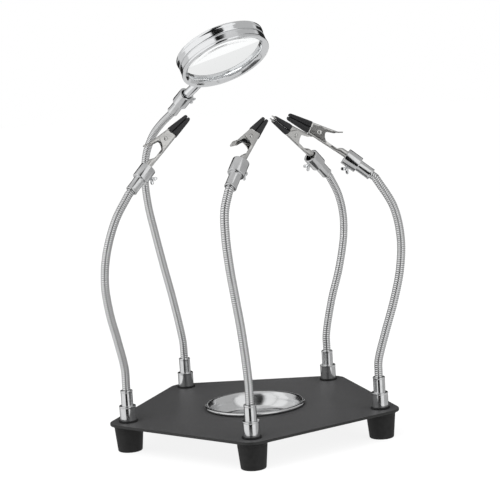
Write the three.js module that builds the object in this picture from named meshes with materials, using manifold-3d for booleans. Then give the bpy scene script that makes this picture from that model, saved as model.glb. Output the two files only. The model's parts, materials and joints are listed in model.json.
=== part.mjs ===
// Helping hands workbench stand: a five-cornered steel plate on rubber feet, with a lift-out
// parts bowl and five gooseneck arms. Four arms hold a spring clip, one holds a magnifier.
//
// Units are millimetres and degrees, +Z is up. The origin is the middle of the bowl's floor,
// which lies on the vertical axis through the middle of the plate.
import * as THREE from 'three';
import { mergeVertices } from 'three/addons/utils/BufferGeometryUtils.js';
import Module from 'manifold-3d';

const wasm = await Module();
wasm.setup();

// ---------------------------------------------------------------- driving dimensions

// Fits
const seatGap = 0.2; // between faces that rest on each other
const runGap = 0.3; // round a piece that turns, slides or passes through
const bowlGap = 0.6; // between the bowl's body and the edge of its hole

// Plate
const armCircleRadius = 100; // plate centre to the axis of each arm
const cornerRadius = 14; // round corner, concentric with its arm
const plateThickness = 2;

// Feet and the screws that hold foot, plate and collar together
const footHeight = 20;
const footTopRadius = 11.3;
const footBottomRadius = 9.2;
const footEdge = 1.1; // rounding at the bottom edge
const footRecessRadius = 4.7; // recess that hides the screw head
const footRecessDepth = 9;
const screwRadius = 2;
const screwHeadRadius = 4;
const screwHeadHeight = 2.4;
const screwReach = 7.5; // length of thread inside the collar

// Parts bowl
const bowlRimRadius = 39;
const bowlRimHeight = 3;
const bowlRimWidth = 4.4;
const bowlDepth = 15; // floor to the top of the rim
const bowlFloorRadius = 22;
const bowlSheet = 0.8;

// Collar at the foot of each arm, in one piece with its washer flange and lower ferrule
const flangeRadius = 7.25;
const flangeHeight = 0.8;
const collarRadius = 6.35;
const collarHeight = 12.5; // plate to the step
const lowerFerruleRadius = 4.6;
const lowerFerruleLength = 11.7;
const edgeBreak = 0.4; // chamfer on every turned edge

// Gooseneck
const neckRadius = 3.25;

// Clamp head: upper ferrule and the bored collar that grips the tool
const headFerruleRadius = 4.45;
const headFerruleLength = 11.7;
const headRadius = 6.2;
const headLength = 11.8;
const headBoreDepth = 10;

// Thumb screw in the side of the clamp head
const thumbRadius = 1.4;
const thumbFromMouth = 6; // along the head, from its open end
const thumbStandOff = 0.6; // hub to the head's wall
const thumbHubRadius = 2;
const thumbHubHeight = 1.6;
const wingSpan = 7.4;
const wingHeight = 3.4;
const wingThickness = 1.2;

// Tool shanks. The magnifier's is thicker and nearly fills the bore.
const shankRadius = 2.6; // of a clip
const lensShankRadius = 3.7;
const shankInsert = 8; // length inside the clamp head
const shankPlay = 1.8; // between a clip's shank and the clamp head's bore, all round
const shankWall = 0.9;

// Spring clip
const clipReach = 51.7; // clamp head to the tip of the jaws
const jawPivotFromTip = 26;
const jawHalfAngle = 6.6; // each jaw's outer edge to the plane where they meet
const jawTipHeight = 2.1; // one jaw at the tip
const jawSheet = 0.7;
const fixedJawWidth = 7.2;
const neckWidth = 4.6;
const neckWallHeight = 2.2;
const cheekRadius = 4.2; // round cheek about the pivot pin
const cheekBack = 8.5; // where the cheeks meet the narrow neck, behind the pivot
const handleLength = 12.6; // pivot to the start of the thumb pad
const padLength = 3.8;
const padRise = 1.3;
const padWidth = 6.2;
const padHoleRadius = 0.7;

// Soft sleeves on the jaws
const sleeveLength = 18.7;
const sleeveProud = 0.5; // how far a sleeve stands out from its jaw
const sleeveWall = 0.7;
const sleeveGripWall = 0.5; // on the side where the jaws meet
const sleeveGap = 0.25; // between a sleeve and the jaw inside it
const sleeveTipWidth = 5.6;
const noseSetBack = 2; // metal nose behind the tip of the sleeve

// Pivot pin and torsion spring
const pinRadius = 1;
const pinHeadRadius = 1.8;
const pinHeadHeight = 0.5;
const springWire = 0.35; // wire radius
const springRadius = 1.9; // mean radius of the coil
const springTurns = 2.5;
const springLegBack = 7;

// Magnifier
const lensFrameRadius = 36;
const lensFrameWall = 3.4;
const lensFrameHeight = 7.5;
const lensRingHeight = 6.2;
const lensRingInset = 0.6; // waist below each lip
const lensLip = 1.8; // inward lip that holds the lens
const lensLipHeight = 4.2; // top of that lip above the frame's lower face
const lensEdge = 3; // lens thickness at its edge
const lensBulge = 3; // height of each curved face
const lensShankLength = 16; // visible length between clamp head and frame
const lensShankHeight = 3.75; // shank axis above the frame's lower face
const tenonRadius = 1.5;
const tenonDepth = 2.6;

// One entry for each arm. at: where it stands round the plate. heading: the compass direction of
// the upright plane it bends in. route: hand-set points of its centre line as [reach, height]
// above the plate, between its two ferrules. mouth: where the upper ferrule begins. rise: slope
// of the clamp head. thumb: turn of the thumb screw round the head, 0 on top, clockwise seen
// from behind. tool: the held tool's own heading, rise and roll.
const arms = [
  {
    name: 'front', at: -90, heading: 60, rise: 46, thumb: 172,
    route: [[-0.3, 42], [-5.1, 77], [-10.3, 101], [-15.2, 124], [-18, 147], [-16.9, 164]],
    mouth: [-8.2, 178.9],
    tool: { kind: 'clip', heading: 67, rise: 31, roll: -52 },
  },
  {
    name: 'right', at: -18, heading: 178, rise: 39, thumb: -172,
    route: [[-0.4, 36], [-6.7, 58], [-14.2, 81.6], [-19.8, 105.4], [-21.3, 129], [-17, 152]],
    mouth: [-2, 176.1],
    tool: { kind: 'clip', heading: 178, rise: 37, roll: 8 },
  },
  {
    name: 'rear', at: 54, heading: 222, rise: 43.5, thumb: 151,
    route: [[-0.3, 37], [-8.3, 64.8], [-18.7, 90], [-25.7, 115.7], [-26.4, 134], [-22.2, 151]],
    mouth: [-10.8, 168.9],
    tool: { kind: 'clip', heading: 222, rise: 40, roll: -25 },
  },
  {
    name: 'lens', at: 126, heading: -45, rise: 36, thumb: -108,
    route: [[-0.5, 38], [-9.4, 72], [-18, 98.3], [-26.2, 125], [-33.2, 150.6], [-35, 172.3],
      [-31, 192.4], [-20.8, 208], [-9, 217.6]],
    mouth: [5.6, 226.8],
    tool: { kind: 'magnifier', heading: -42.7, rise: 31.4, roll: -4.6 },
  },
  {
    name: 'left', at: 198, heading: 40, rise: 43, thumb: 149,
    route: [[0, 40], [-4.8, 63], [-9.8, 84], [-12.1, 106], [-9, 128], [1.3, 153]],
    mouth: [16.9, 173],
    tool: { kind: 'clip', heading: 35, rise: 42.5, roll: -28 },
  },
];

// ---------------------------------------------------------------- values that follow from them

const plateBottom = footHeight + seatGap;
const plateTop = plateBottom + plateThickness;
const bowlRimBottom = bowlDepth - bowlRimHeight; // above the bowl's floor
const bowlBodyRadius = bowlRimRadius - bowlRimWidth;
const bowlFloorLevel = plateTop + seatGap - bowlRimBottom; // above the surface under the feet
const collarBottom = seatGap; // above the plate
const ferruleTop = collarHeight + lowerFerruleLength; // above the plate
const lowerPivot = ferruleTop + runGap + neckRadius;
const headTotal = headFerruleLength + headLength;
const headBoreRadius = shankRadius + shankPlay;
const jawSlope = Math.tan(THREE.MathUtils.degToRad(jawHalfAngle));
const clipTip = shankInsert / 2 + clipReach; // from the middle of the shank's inserted length
const jawPivotX = clipTip - jawPivotFromTip;
const jawPivotHeight = jawTipHeight + jawPivotFromTip * jawSlope; // pivot to a jaw's outer edge
const jawPivotZ = jawPivotHeight - shankRadius;
const movingJawWidth = fixedJawWidth - 2 * (jawSheet + runGap);
const sleeveBackWidth = movingJawWidth + 2 * (sleeveWall + sleeveGap);
const springHalfWidth = movingJawWidth / 2 - jawSheet - springWire - runGap;
const lensCentre = shankInsert / 2 + lensShankLength + lensFrameRadius;
const lensSeat = lensLipHeight + runGap; // lower edge of the lens
const lensRadius = lensFrameRadius - lensFrameWall - runGap;

// ---------------------------------------------------------------- geometry helpers

const rad = THREE.MathUtils.degToRad;

/** Volume inside a closed triangle mesh, negative when its faces point inwards. */
function signedVolume(geometry) {
  const p = geometry.attributes.position;
  const index = geometry.index;
  const count = index ? index.count : p.count;
  const a = new THREE.Vector3();
  const b = new THREE.Vector3();
  const c = new THREE.Vector3();
  let sum = 0;
  for (let i = 0; i < count; i += 3) {
    a.fromBufferAttribute(p, index ? index.getX(i) : i);
    b.fromBufferAttribute(p, index ? index.getX(i + 1) : i + 1);
    c.fromBufferAttribute(p, index ? index.getX(i + 2) : i + 2);
    sum += a.dot(b.cross(c));
  }
  return sum / 6;
}

/** The same surface with shared corners merged, no collapsed triangles and faces outwards. */
function closed(geometry) {
  const bare = geometry.clone();
  bare.deleteAttribute('normal');
  bare.deleteAttribute('uv');
  const merged = mergeVertices(bare, 1e-4);
  const kept = [];
  for (let i = 0; i < merged.index.count; i += 3) {
    const [a, b, c] = [0, 1, 2].map((k) => merged.index.getX(i + k));
    if (a !== b && b !== c && c !== a) kept.push(a, b, c);
  }
  merged.setIndex(kept);
  if (signedVolume(merged) < 0) merged.setIndex(kept.reverse());
  return merged;
}

/** A manifold-3d solid made from a closed geometry. */
function solid(geometry) {
  const g = closed(geometry);
  return new wasm.Manifold(new wasm.Mesh({
    numProp: 3,
    vertProperties: new Float32Array(g.attributes.position.array),
    triVerts: new Uint32Array(g.index.array),
  }));
}

/** A manifold-3d solid turned back into a geometry. */
function geometryOf(manifold) {
  const mesh = manifold.getMesh();
  const g = new THREE.BufferGeometry();
  g.setAttribute('position', new THREE.BufferAttribute(new Float32Array(mesh.vertProperties), 3));
  g.setIndex([...mesh.triVerts]);
  return g;
}

/** One geometry out of several overlapping ones, less others. */
function combine(added, removed = []) {
  let whole = solid(added[0]);
  for (const g of added.slice(1)) whole = whole.add(solid(g));
  for (const g of removed) whole = whole.subtract(solid(g));
  return geometryOf(whole);
}

/** A profile of [radius, height] points turned about +Z. */
function turned(profile, segments) {
  const points = profile.map(([r, z]) => new THREE.Vector2(r, z));
  return closed(new THREE.LatheGeometry(points, segments).rotateX(Math.PI / 2));
}

/** A profile that closes on itself, for a ring. */
function turnedRing(profile, segments) {
  return turned([...profile, profile[0]], segments);
}

/** A cylinder from z0 to z1 about +Z. */
function rod(radius, z0, z1, segments) {
  return turned([[0, z0], [radius, z0], [radius, z1], [0, z1]], segments);
}

/** A flat outline of [x, y] points, z0 to z1 thick. */
function slab(outline, z0, z1) {
  const shape = new THREE.Shape(outline.map(([x, y]) => new THREE.Vector2(x, y)));
  const g = new THREE.ExtrudeGeometry(shape, { depth: z1 - z0, bevelEnabled: false });
  return closed(g.translate(0, 0, z0));
}

/** An outline of [x, z] points standing on edge, from y0 to y1. */
function sideSlab(outline, y0, y1) {
  return slab(outline, -y1, -y0).rotateX(Math.PI / 2);
}

/** A block between two upright quads. Each end is { x, y, w, lo, hi }: place, width, heights. */
function block(a, b) {
  const g = new THREE.BoxGeometry(1, 1, 1);
  const p = g.attributes.position;
  for (let i = 0; i < p.count; i += 1) {
    const end = p.getX(i) < 0 ? a : b;
    const y = (end.y ?? 0) + p.getY(i) * end.w;
    p.setXYZ(i, end.x, y, p.getZ(i) < 0 ? end.lo : end.hi);
  }
  return closed(g);
}

/** A round wire or tube along a curve. */
function swept(curve, radius, sides, steps) {
  const ring = [];
  for (let i = 0; i < sides; i += 1) {
    const t = (2 * Math.PI * i) / sides;
    ring.push(new THREE.Vector2(radius * Math.cos(t), radius * Math.sin(t)));
  }
  const options = { steps, bevelEnabled: false, extrudePath: curve };
  return closed(new THREE.ExtrudeGeometry(new THREE.Shape(ring), options));
}

/** Points of an arc about (cx, cz), from one angle to another, in degrees. */
function arc(cx, cz, radius, from, to, steps) {
  const points = [];
  for (let i = 0; i <= steps; i += 1) {
    const t = rad(from + ((to - from) * i) / steps);
    points.push([cx + radius * Math.cos(t), cz + radius * Math.sin(t)]);
  }
  return points;
}

/** A round hole for a flat shape, as a path. */
function roundHole(x, y, radius, sides) {
  const points = arc(x, y, radius, 0, 360 - 360 / sides, sides - 1);
  return new THREE.Path(points.map(([u, v]) => new THREE.Vector2(u, v)));
}

// ---------------------------------------------------------------- materials and scene helpers

const looks = {
  plate: { color: 0x2a2c2e, roughness: 0.62, metalness: 0.35 },
  rubber: { color: 0x141414, roughness: 0.85, metalness: 0 },
  sleeve: { color: 0x17181a, roughness: 0.6, metalness: 0 },
  chrome: { color: 0xd5d7d9, roughness: 0.14, metalness: 1 },
  gooseneck: { color: 0xbfc2c4, roughness: 0.26, metalness: 1 },
  nickel: { color: 0xc9cac8, roughness: 0.24, metalness: 1 },
  stainless: { color: 0xc8cacc, roughness: 0.2, metalness: 1 },
  zinc: { color: 0xa9abad, roughness: 0.4, metalness: 1 },
  lens: { color: 0xe9eef0, roughness: 0.03, metalness: 0 },
};

/** Adds a named mesh with its own material to a group. */
function addPiece(parent, name, geometry, look) {
  const material = new THREE.MeshStandardMaterial(looks[look]);
  if (look === 'lens') {
    material.transparent = true;
    material.opacity = 0.35;
  }
  const mesh = new THREE.Mesh(geometry, material);
  mesh.name = name;
  parent.add(mesh);
  return mesh;
}

/** A group placed at a point, with +X turned to a heading, then raised, then rolled. */
function aimed(parent, position, heading = 0, rise = 0, roll = 0) {
  const group = new THREE.Group();
  group.position.copy(position);
  group.rotation.set(rad(roll), -rad(rise), rad(heading), 'ZYX');
  parent.add(group);
  return group;
}

/** The unit vector of a heading and rise. */
function direction(heading, rise) {
  const flat = Math.cos(rad(rise));
  const [c, s] = [Math.cos(rad(heading)), Math.sin(rad(heading))];
  return new THREE.Vector3(flat * c, flat * s, Math.sin(rad(rise)));
}

// ---------------------------------------------------------------- base

/** Where an arm stands, on top of the plate. */
function armBase(arm) {
  return direction(arm.at, 0).multiplyScalar(armCircleRadius).setZ(plateTop);
}

/** The plate: round corners about the arms, a hole for the bowl and one for each screw. */
function plateGeometry() {
  const corners = new THREE.Shape();
  const half = Math.PI / arms.length;
  const holes = [];
  for (const arm of arms) {
    const c = armBase(arm);
    corners.absarc(c.x, c.y, cornerRadius, rad(arm.at) - half, rad(arm.at) + half, false);
    holes.push(roundHole(c.x, c.y, screwRadius + runGap, 8));
  }
  const shape = new THREE.Shape(corners.getPoints(5));
  shape.holes = [...holes, roundHole(0, 0, bowlBodyRadius + bowlGap, 36)];
  const g = new THREE.ExtrudeGeometry(shape, { depth: plateThickness, bevelEnabled: false });
  return closed(g.translate(0, 0, plateBottom));
}

/** A tapered rubber foot with a recess below for the screw head. */
function footGeometry() {
  const hole = screwRadius + runGap;
  return turnedRing([
    [footRecessRadius, 0],
    [footBottomRadius - footEdge, 0],
    [footBottomRadius - 0.3 * footEdge, 0.3 * footEdge],
    [footBottomRadius, footEdge],
    [footTopRadius, footHeight],
    [hole, footHeight],
    [hole, footRecessDepth],
    [footRecessRadius, footRecessDepth],
  ], 16);
}

/** The screw that comes up through foot and plate into the collar. */
function footScrewGeometry() {
  const headTop = footRecessDepth - seatGap;
  const headBottom = headTop - screwHeadHeight;
  return turned([
    [0, headBottom],
    [screwHeadRadius - 1, headBottom],
    [screwHeadRadius, headBottom + 1],
    [screwHeadRadius, headTop],
    [screwRadius, headTop],
    [screwRadius, plateTop + collarBottom + screwReach],
    [0, plateTop + collarBottom + screwReach],
  ], 10);
}

/** The bowl, with its floor at z = 0: sheet walls and a thick rolled rim. */
function bowlGeometry() {
  const rim = bowlRimRadius;
  const low = bowlRimBottom;
  const top = bowlDepth;
  const body = bowlBodyRadius;
  return turned([
    [0, -bowlSheet],
    [bowlFloorRadius, -bowlSheet],
    [body - 3.4, 2.6],
    [body - 0.9, 6.4],
    [body, low],
    [rim - 0.8, low],
    [rim, low + 0.8],
    [rim, top - 1.4],
    [rim - 0.8, top - 0.4],
    [rim - 2, top],
    [rim - 3.4, top - 0.4],
    [body - bowlSheet + 0.1, top - 1.8],
    [body - bowlSheet - 0.9, 6.8],
    [body - bowlSheet - 3.3, 3.2],
    [bowlFloorRadius, 0],
    [0, 0],
  ], 36);
}

// ---------------------------------------------------------------- arm

/** Washer flange, collar and lower ferrule, with a blind hole for the screw. z = 0 is the plate. */
function collarGeometry() {
  const hole = screwRadius + runGap;
  const low = collarBottom;
  return turned([
    [0, low + screwReach + 1.5],
    [hole, low + screwReach + 1.5],
    [hole, low],
    [flangeRadius, low],
    [flangeRadius, low + flangeHeight],
    [collarRadius, low + flangeHeight],
    [collarRadius, collarHeight - edgeBreak],
    [collarRadius - edgeBreak, collarHeight],
    [lowerFerruleRadius, collarHeight],
    [lowerFerruleRadius, ferruleTop - edgeBreak],
    [lowerFerruleRadius - edgeBreak, ferruleTop],
    [0, ferruleTop],
  ], 14);
}

/** The upper pivot of an arm's neck, in its own upright plane. */
function upperPivot(arm) {
  const back = runGap + neckRadius;
  const [reach, height] = arm.mouth;
  return [reach - back * Math.cos(rad(arm.rise)), height - back * Math.sin(rad(arm.rise))];
}

/** The neck: a round tube along the arm's route, with a ball end at each pivot. */
function neckGeometry(arm) {
  const points = [[0, lowerPivot], ...arm.route, upperPivot(arm)];
  const curve = new THREE.CatmullRomCurve3(points.map(([x, z]) => new THREE.Vector3(x, 0, z)));
  const steps = Math.round(curve.getLength() / 8);
  const parts = [swept(curve, neckRadius, 8, steps)];
  for (const [x, z] of [points[0], points[points.length - 1]]) {
    parts.push(new THREE.SphereGeometry(0.9 * neckRadius, 8, 6).translate(x, 0, z));
  }
  return combine(parts);
}

/** Ferrule and clamp collar about +Z, with the tool's bore and the thumb screw's side hole. */
function headGeometry(thumbAngle) {
  const bore = headTotal - headBoreDepth;
  const body = turned([
    [0, 0],
    [headFerruleRadius - edgeBreak, 0],
    [headFerruleRadius, edgeBreak],
    [headFerruleRadius, headFerruleLength],
    [headRadius - edgeBreak, headFerruleLength],
    [headRadius, headFerruleLength + edgeBreak],
    [headRadius, headTotal - edgeBreak],
    [headRadius - edgeBreak, headTotal],
    [headBoreRadius, headTotal],
    [headBoreRadius, bore],
    [0, bore],
  ], 16);
  const hole = rod(thumbRadius + runGap, headBoreRadius - 1.5, headRadius + 1, 8);
  hole.rotateY(Math.PI / 2).rotateZ(thumbAngle);
  return combine([body], [hole.translate(0, 0, headTotal - thumbFromMouth)]);
}

/** The thumb screw about +Z, its tip at z = tip and its wings outside the head. */
function thumbGeometry(tip) {
  const hub = headRadius + thumbStandOff;
  const top = hub + thumbHubHeight;
  const screw = turned([
    [0, tip],
    [thumbRadius - 0.3, tip],
    [thumbRadius, tip + 0.3],
    [thumbRadius, hub],
    [thumbHubRadius, hub],
    [thumbHubRadius, top],
    [0, top],
  ], 10);
  const w = wingSpan / 2;
  const low = hub + 0.5;
  const high = low + wingHeight;
  const wings = sideSlab([
    [-0.9, low], [0.9, low], [w - 0.6, low + 0.7], [w, high - 1.2], [w - 0.5, high - 0.2],
    [w - 1.5, high], [1, top + 0.3], [-1, top + 0.3], [-w + 1.5, high], [-w + 0.5, high - 0.2],
    [-w, high - 1.2], [-w + 0.6, low + 0.7],
  ], -wingThickness / 2, wingThickness / 2);
  return combine([screw, wings]);
}

// ---------------------------------------------------------------- clip
// A clip is built with +X forward along its shank and +Z towards its moving jaw. Its origin is
// the middle of the shank's inserted length, on the shank's axis. Each jaw is drawn in a frame
// at the pivot pin whose +X runs forward along the jaw's outer edge.

/** Height, from the jaw's outer edge, of the plane where the jaws meet. x is from the pin. */
function meetHeight(x) {
  return jawTipHeight + (jawPivotFromTip - x) * jawSlope;
}

/** The tapered metal nose of a jaw, grown by a margin. out is +1 for the upper jaw. */
function noseBlock(out, margin, back) {
  const front = jawPivotFromTip - noseSetBack + margin;
  const taper = (sleeveBackWidth - sleeveTipWidth) / sleeveLength;
  const quad = (x) => {
    const w = sleeveTipWidth + (jawPivotFromTip - x) * taper - 2 * (sleeveWall + sleeveGap);
    const outer = jawPivotHeight + sleeveProud - sleeveWall - sleeveGap + margin;
    const inner = jawPivotHeight - meetHeight(x) + runGap / 2 + sleeveGripWall + sleeveGap - margin;
    const [lo, hi] = out > 0 ? [inner, outer] : [-outer, -inner];
    return { x, w: w + 2 * margin, lo, hi };
  };
  return block(quad(back), quad(front));
}

/** The soft sleeve on a jaw: a tapered boot, open at the back, that the nose fits into. */
function sleeveGeometry(out) {
  const back = jawPivotFromTip - sleeveLength;
  const quad = (x, w) => {
    const outer = jawPivotHeight + sleeveProud;
    const inner = jawPivotHeight - meetHeight(x) + runGap / 2;
    const [lo, hi] = out > 0 ? [inner, outer] : [-outer, -inner];
    return { x, w, lo, hi };
  };
  const outside = block(quad(back, sleeveBackWidth), quad(jawPivotFromTip, sleeveTipWidth));
  return combine([outside], [noseBlock(out, sleeveGap, back - 1)]);
}

/** The fixed jaw: nose, cheeks, floor, narrow neck and the split shank the clamp head grips. */
function fixedJawGeometry() {
  const floor = -jawPivotHeight;
  const front = jawPivotFromTip - sleeveLength - sleeveGap;
  const neckEnd = shankInsert / 2 + 4 - jawPivotX; // where the neck runs into the shank
  const w = fixedJawWidth / 2;
  const n = neckWidth / 2;
  const wide = -cheekBack + 1; // where the floor begins to narrow
  const narrow = wide - 5;
  const pieces = [noseBlock(-1, 0, front - 1.5)];
  pieces.push(slab([
    [front, -w], [front, w], [wide, w], [narrow, n], [neckEnd, n], [neckEnd, -n], [narrow, -n],
    [wide, -w],
  ], floor, floor + jawSheet));
  const cheek = [
    [front, floor],
    [front, -jawPivotHeight + meetHeight(front) - runGap],
    ...arc(0, 0, cheekRadius, 35, 150, 5),
    [0.62 * wide, -0.4],
    [wide + 0.6, floor + neckWallHeight + 0.4],
    [wide, floor + neckWallHeight],
    [wide, floor],
  ];
  const pinHole = rod(pinRadius + runGap, -w - 1, w + 1, 10).rotateX(Math.PI / 2);
  for (const side of [-1, 1]) {
    const [y0, y1] = side < 0 ? [-w, -w + jawSheet] : [w - jawSheet, w];
    pieces.push(sideSlab(cheek, y0, y1));
    const top = floor + neckWallHeight;
    const wall = (x, y) => ({ x, y: side * (y - jawSheet / 2), w: jawSheet, lo: floor, hi: top });
    pieces.push(block(wall(narrow, n), wall(wide + 0.4, w)));
    pieces.push(block(wall(neckEnd, n), wall(narrow + 0.3, n)));
  }
  const shank = turnedRing([
    [shankRadius - shankWall, -shankInsert / 2],
    [shankRadius, -shankInsert / 2],
    [shankRadius, shankInsert / 2 + 5],
    [shankRadius - shankWall, shankInsert / 2 + 5],
  ], 14).rotateY(Math.PI / 2);
  pieces.push(shank.translate(-jawPivotX, 0, -jawPivotZ));
  return combine(pieces, [pinHole]);
}

/** The moving jaw: nose, top web, cheeks round the pin and a handle with a turned-up thumb pad. */
function movingJawGeometry() {
  const top = jawPivotHeight;
  const front = jawPivotFromTip - sleeveLength - sleeveGap;
  const w = movingJawWidth / 2;
  const end = -handleLength;
  const pad = end - padLength;
  const pieces = [noseBlock(1, 0, front - 1.5)];
  pieces.push(slab([
    [front, -w], [front, w], [end + 4, w], [end, padWidth / 2], [end, -padWidth / 2], [end + 4, -w],
  ], top - jawSheet, top));
  const flange = [
    [front, top],
    [front, top - meetHeight(front) + 0.4],
    ...arc(0, 0, cheekRadius - 1.1, -20, -160, 5),
    [-5, top - 2.6],
    [end + 2, top - 1.6],
    [end + 2, top],
  ];
  for (const side of [-1, 1]) {
    const [y0, y1] = side < 0 ? [-w, -w + jawSheet] : [w - jawSheet, w];
    pieces.push(sideSlab(flange, y0, y1));
  }
  pieces.push(block(
    { x: pad, w: padWidth - 2, lo: top - jawSheet + padRise, hi: top + padRise },
    { x: end + 0.2, w: padWidth, lo: top - jawSheet, hi: top },
  ));
  const holes = [rod(pinRadius + runGap, -w - 1, w + 1, 10).rotateX(Math.PI / 2)];
  for (const side of [-1, 1]) {
    const hole = rod(padHoleRadius, top - 2, top + 3, 6);
    holes.push(hole.translate(end - 0.45 * padLength, side * 0.22 * padWidth, 0));
  }
  return combine(pieces, holes);
}

/** The rivet through the cheeks, about the Y axis. */
function pinGeometry() {
  const inner = fixedJawWidth / 2 + seatGap;
  const outer = inner + pinHeadHeight;
  return turned([
    [0, -outer],
    [pinHeadRadius - 0.3, -outer],
    [pinHeadRadius, -inner],
    [pinRadius, -inner],
    [pinRadius, inner],
    [pinHeadRadius, inner],
    [pinHeadRadius - 0.3, outer],
    [0, outer],
  ], 10).rotateX(Math.PI / 2);
}

/** The torsion spring round the pin, with a leg on the fixed neck and one under the handle. */
function springGeometry() {
  const points = [];
  const floorLeg = -jawPivotHeight + jawSheet + seatGap + springWire + 0.3;
  points.push(new THREE.Vector3(-springLegBack, -springHalfWidth, floorLeg));
  const steps = Math.round(8 * springTurns);
  for (let i = 0; i <= steps; i += 1) {
    const t = rad(-90 + (360 * springTurns * i) / steps);
    const y = springHalfWidth * ((2 * i) / steps - 1);
    points.push(new THREE.Vector3(springRadius * Math.cos(t), y, springRadius * Math.sin(t)));
  }
  const lean = rad(2 * jawHalfAngle);
  const under = jawPivotHeight - jawSheet - springWire - runGap;
  const x = -springLegBack * Math.cos(lean) + under * Math.sin(lean);
  const z = springLegBack * Math.sin(lean) + under * Math.cos(lean);
  points.push(new THREE.Vector3(x, springHalfWidth, z));
  return swept(new THREE.CatmullRomCurve3(points), springWire, 5, 30);
}

/** Adds a whole clip to a group that has the clip's own frame. */
function addClip(group, name) {
  const pivot = aimed(group, new THREE.Vector3(jawPivotX, 0, jawPivotZ));
  addPiece(pivot, `clip_fixed_jaw_${name}`, fixedJawGeometry(), 'nickel');
  addPiece(pivot, `clip_fixed_sleeve_${name}`, sleeveGeometry(-1), 'sleeve');
  addPiece(pivot, `clip_pivot_pin_${name}`, pinGeometry(), 'nickel');
  addPiece(pivot, `clip_spring_${name}`, springGeometry(), 'zinc');
  const lever = aimed(pivot, new THREE.Vector3(), 0, -2 * jawHalfAngle);
  addPiece(lever, `clip_moving_jaw_${name}`, movingJawGeometry(), 'nickel');
  addPiece(lever, `clip_moving_sleeve_${name}`, sleeveGeometry(1), 'sleeve');
}

// ---------------------------------------------------------------- magnifier
// Built like a clip, with +X forward along its shank and +Z through the lens.

/** The lens frame about +Z, its lower face at z = 0, with a blind hole for the shank's tenon. */
function lensFrameGeometry() {
  const R = lensFrameRadius;
  const waist = R - lensRingInset;
  const wall = R - lensFrameWall;
  const ring = turnedRing([
    [wall + 0.6, 0],
    [R - 0.3, 0],
    [R, 0.4],
    [R, 1.6],
    [waist, 2.2],
    [waist, lensFrameHeight],
    [wall, lensFrameHeight],
    [wall, lensLipHeight],
    [wall - lensLip, lensLipHeight],
    [wall - lensLip, 2],
  ], 34);
  const depth = lensShankLength + runGap + tenonDepth;
  const hole = rod(tenonRadius + runGap, 0, depth, 10).rotateY(Math.PI / 2);
  return combine([ring], [hole.translate(shankInsert / 2 - lensCentre, 0, lensShankHeight)]);
}

/** The upper ring that traps the lens. */
function lensRingGeometry() {
  const R = lensFrameRadius;
  const waist = R - lensRingInset;
  const wall = R - lensFrameWall;
  const low = lensFrameHeight + seatGap;
  const top = low + lensRingHeight;
  return turnedRing([
    [wall - lensLip + 0.4, low + 0.4],
    [wall, low],
    [waist, low],
    [waist, top - 2.2],
    [R, top - 1.6],
    [R, top - 0.4],
    [R - 0.4, top],
    [wall + 0.8, top],
    [wall - lensLip + 0.4, top - 1.8],
  ], 34);
}

/** A lens with two curved faces. */
function lensGeometry() {
  const profile = [];
  const n = 4;
  const face = (k) => lensBulge * (1 - (k / n) ** 2);
  for (let k = 0; k <= n; k += 1) profile.push([(lensRadius * k) / n, lensSeat - face(k)]);
  for (let k = n; k >= 0; k -= 1) profile.push([(lensRadius * k) / n, lensSeat + lensEdge + face(k)]);
  return turned(profile, 30);
}

/** The magnifier's shank, with a tenon that enters the lens frame. */
function lensShankGeometry() {
  const shoulder = shankInsert / 2 + lensShankLength - runGap;
  return turned([
    [0, -shankInsert / 2],
    [lensShankRadius - edgeBreak, -shankInsert / 2],
    [lensShankRadius, -shankInsert / 2 + edgeBreak],
    [lensShankRadius, shoulder - edgeBreak],
    [lensShankRadius - edgeBreak, shoulder],
    [tenonRadius, shoulder],
    [tenonRadius, shoulder + runGap + tenonDepth],
    [0, shoulder + runGap + tenonDepth],
  ], 14).rotateY(Math.PI / 2);
}

/** Adds the magnifier to a group that has its own frame. */
function addMagnifier(group, name) {
  addPiece(group, `magnifier_shank_${name}`, lensShankGeometry(), 'chrome');
  const disc = aimed(group, new THREE.Vector3(lensCentre, 0, -lensShankHeight));
  addPiece(disc, `magnifier_frame_${name}`, lensFrameGeometry(), 'chrome');
  addPiece(disc, `magnifier_ring_${name}`, lensRingGeometry(), 'chrome');
  addPiece(disc, `magnifier_glass_${name}`, lensGeometry(), 'lens');
}

// ---------------------------------------------------------------- assembly

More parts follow.
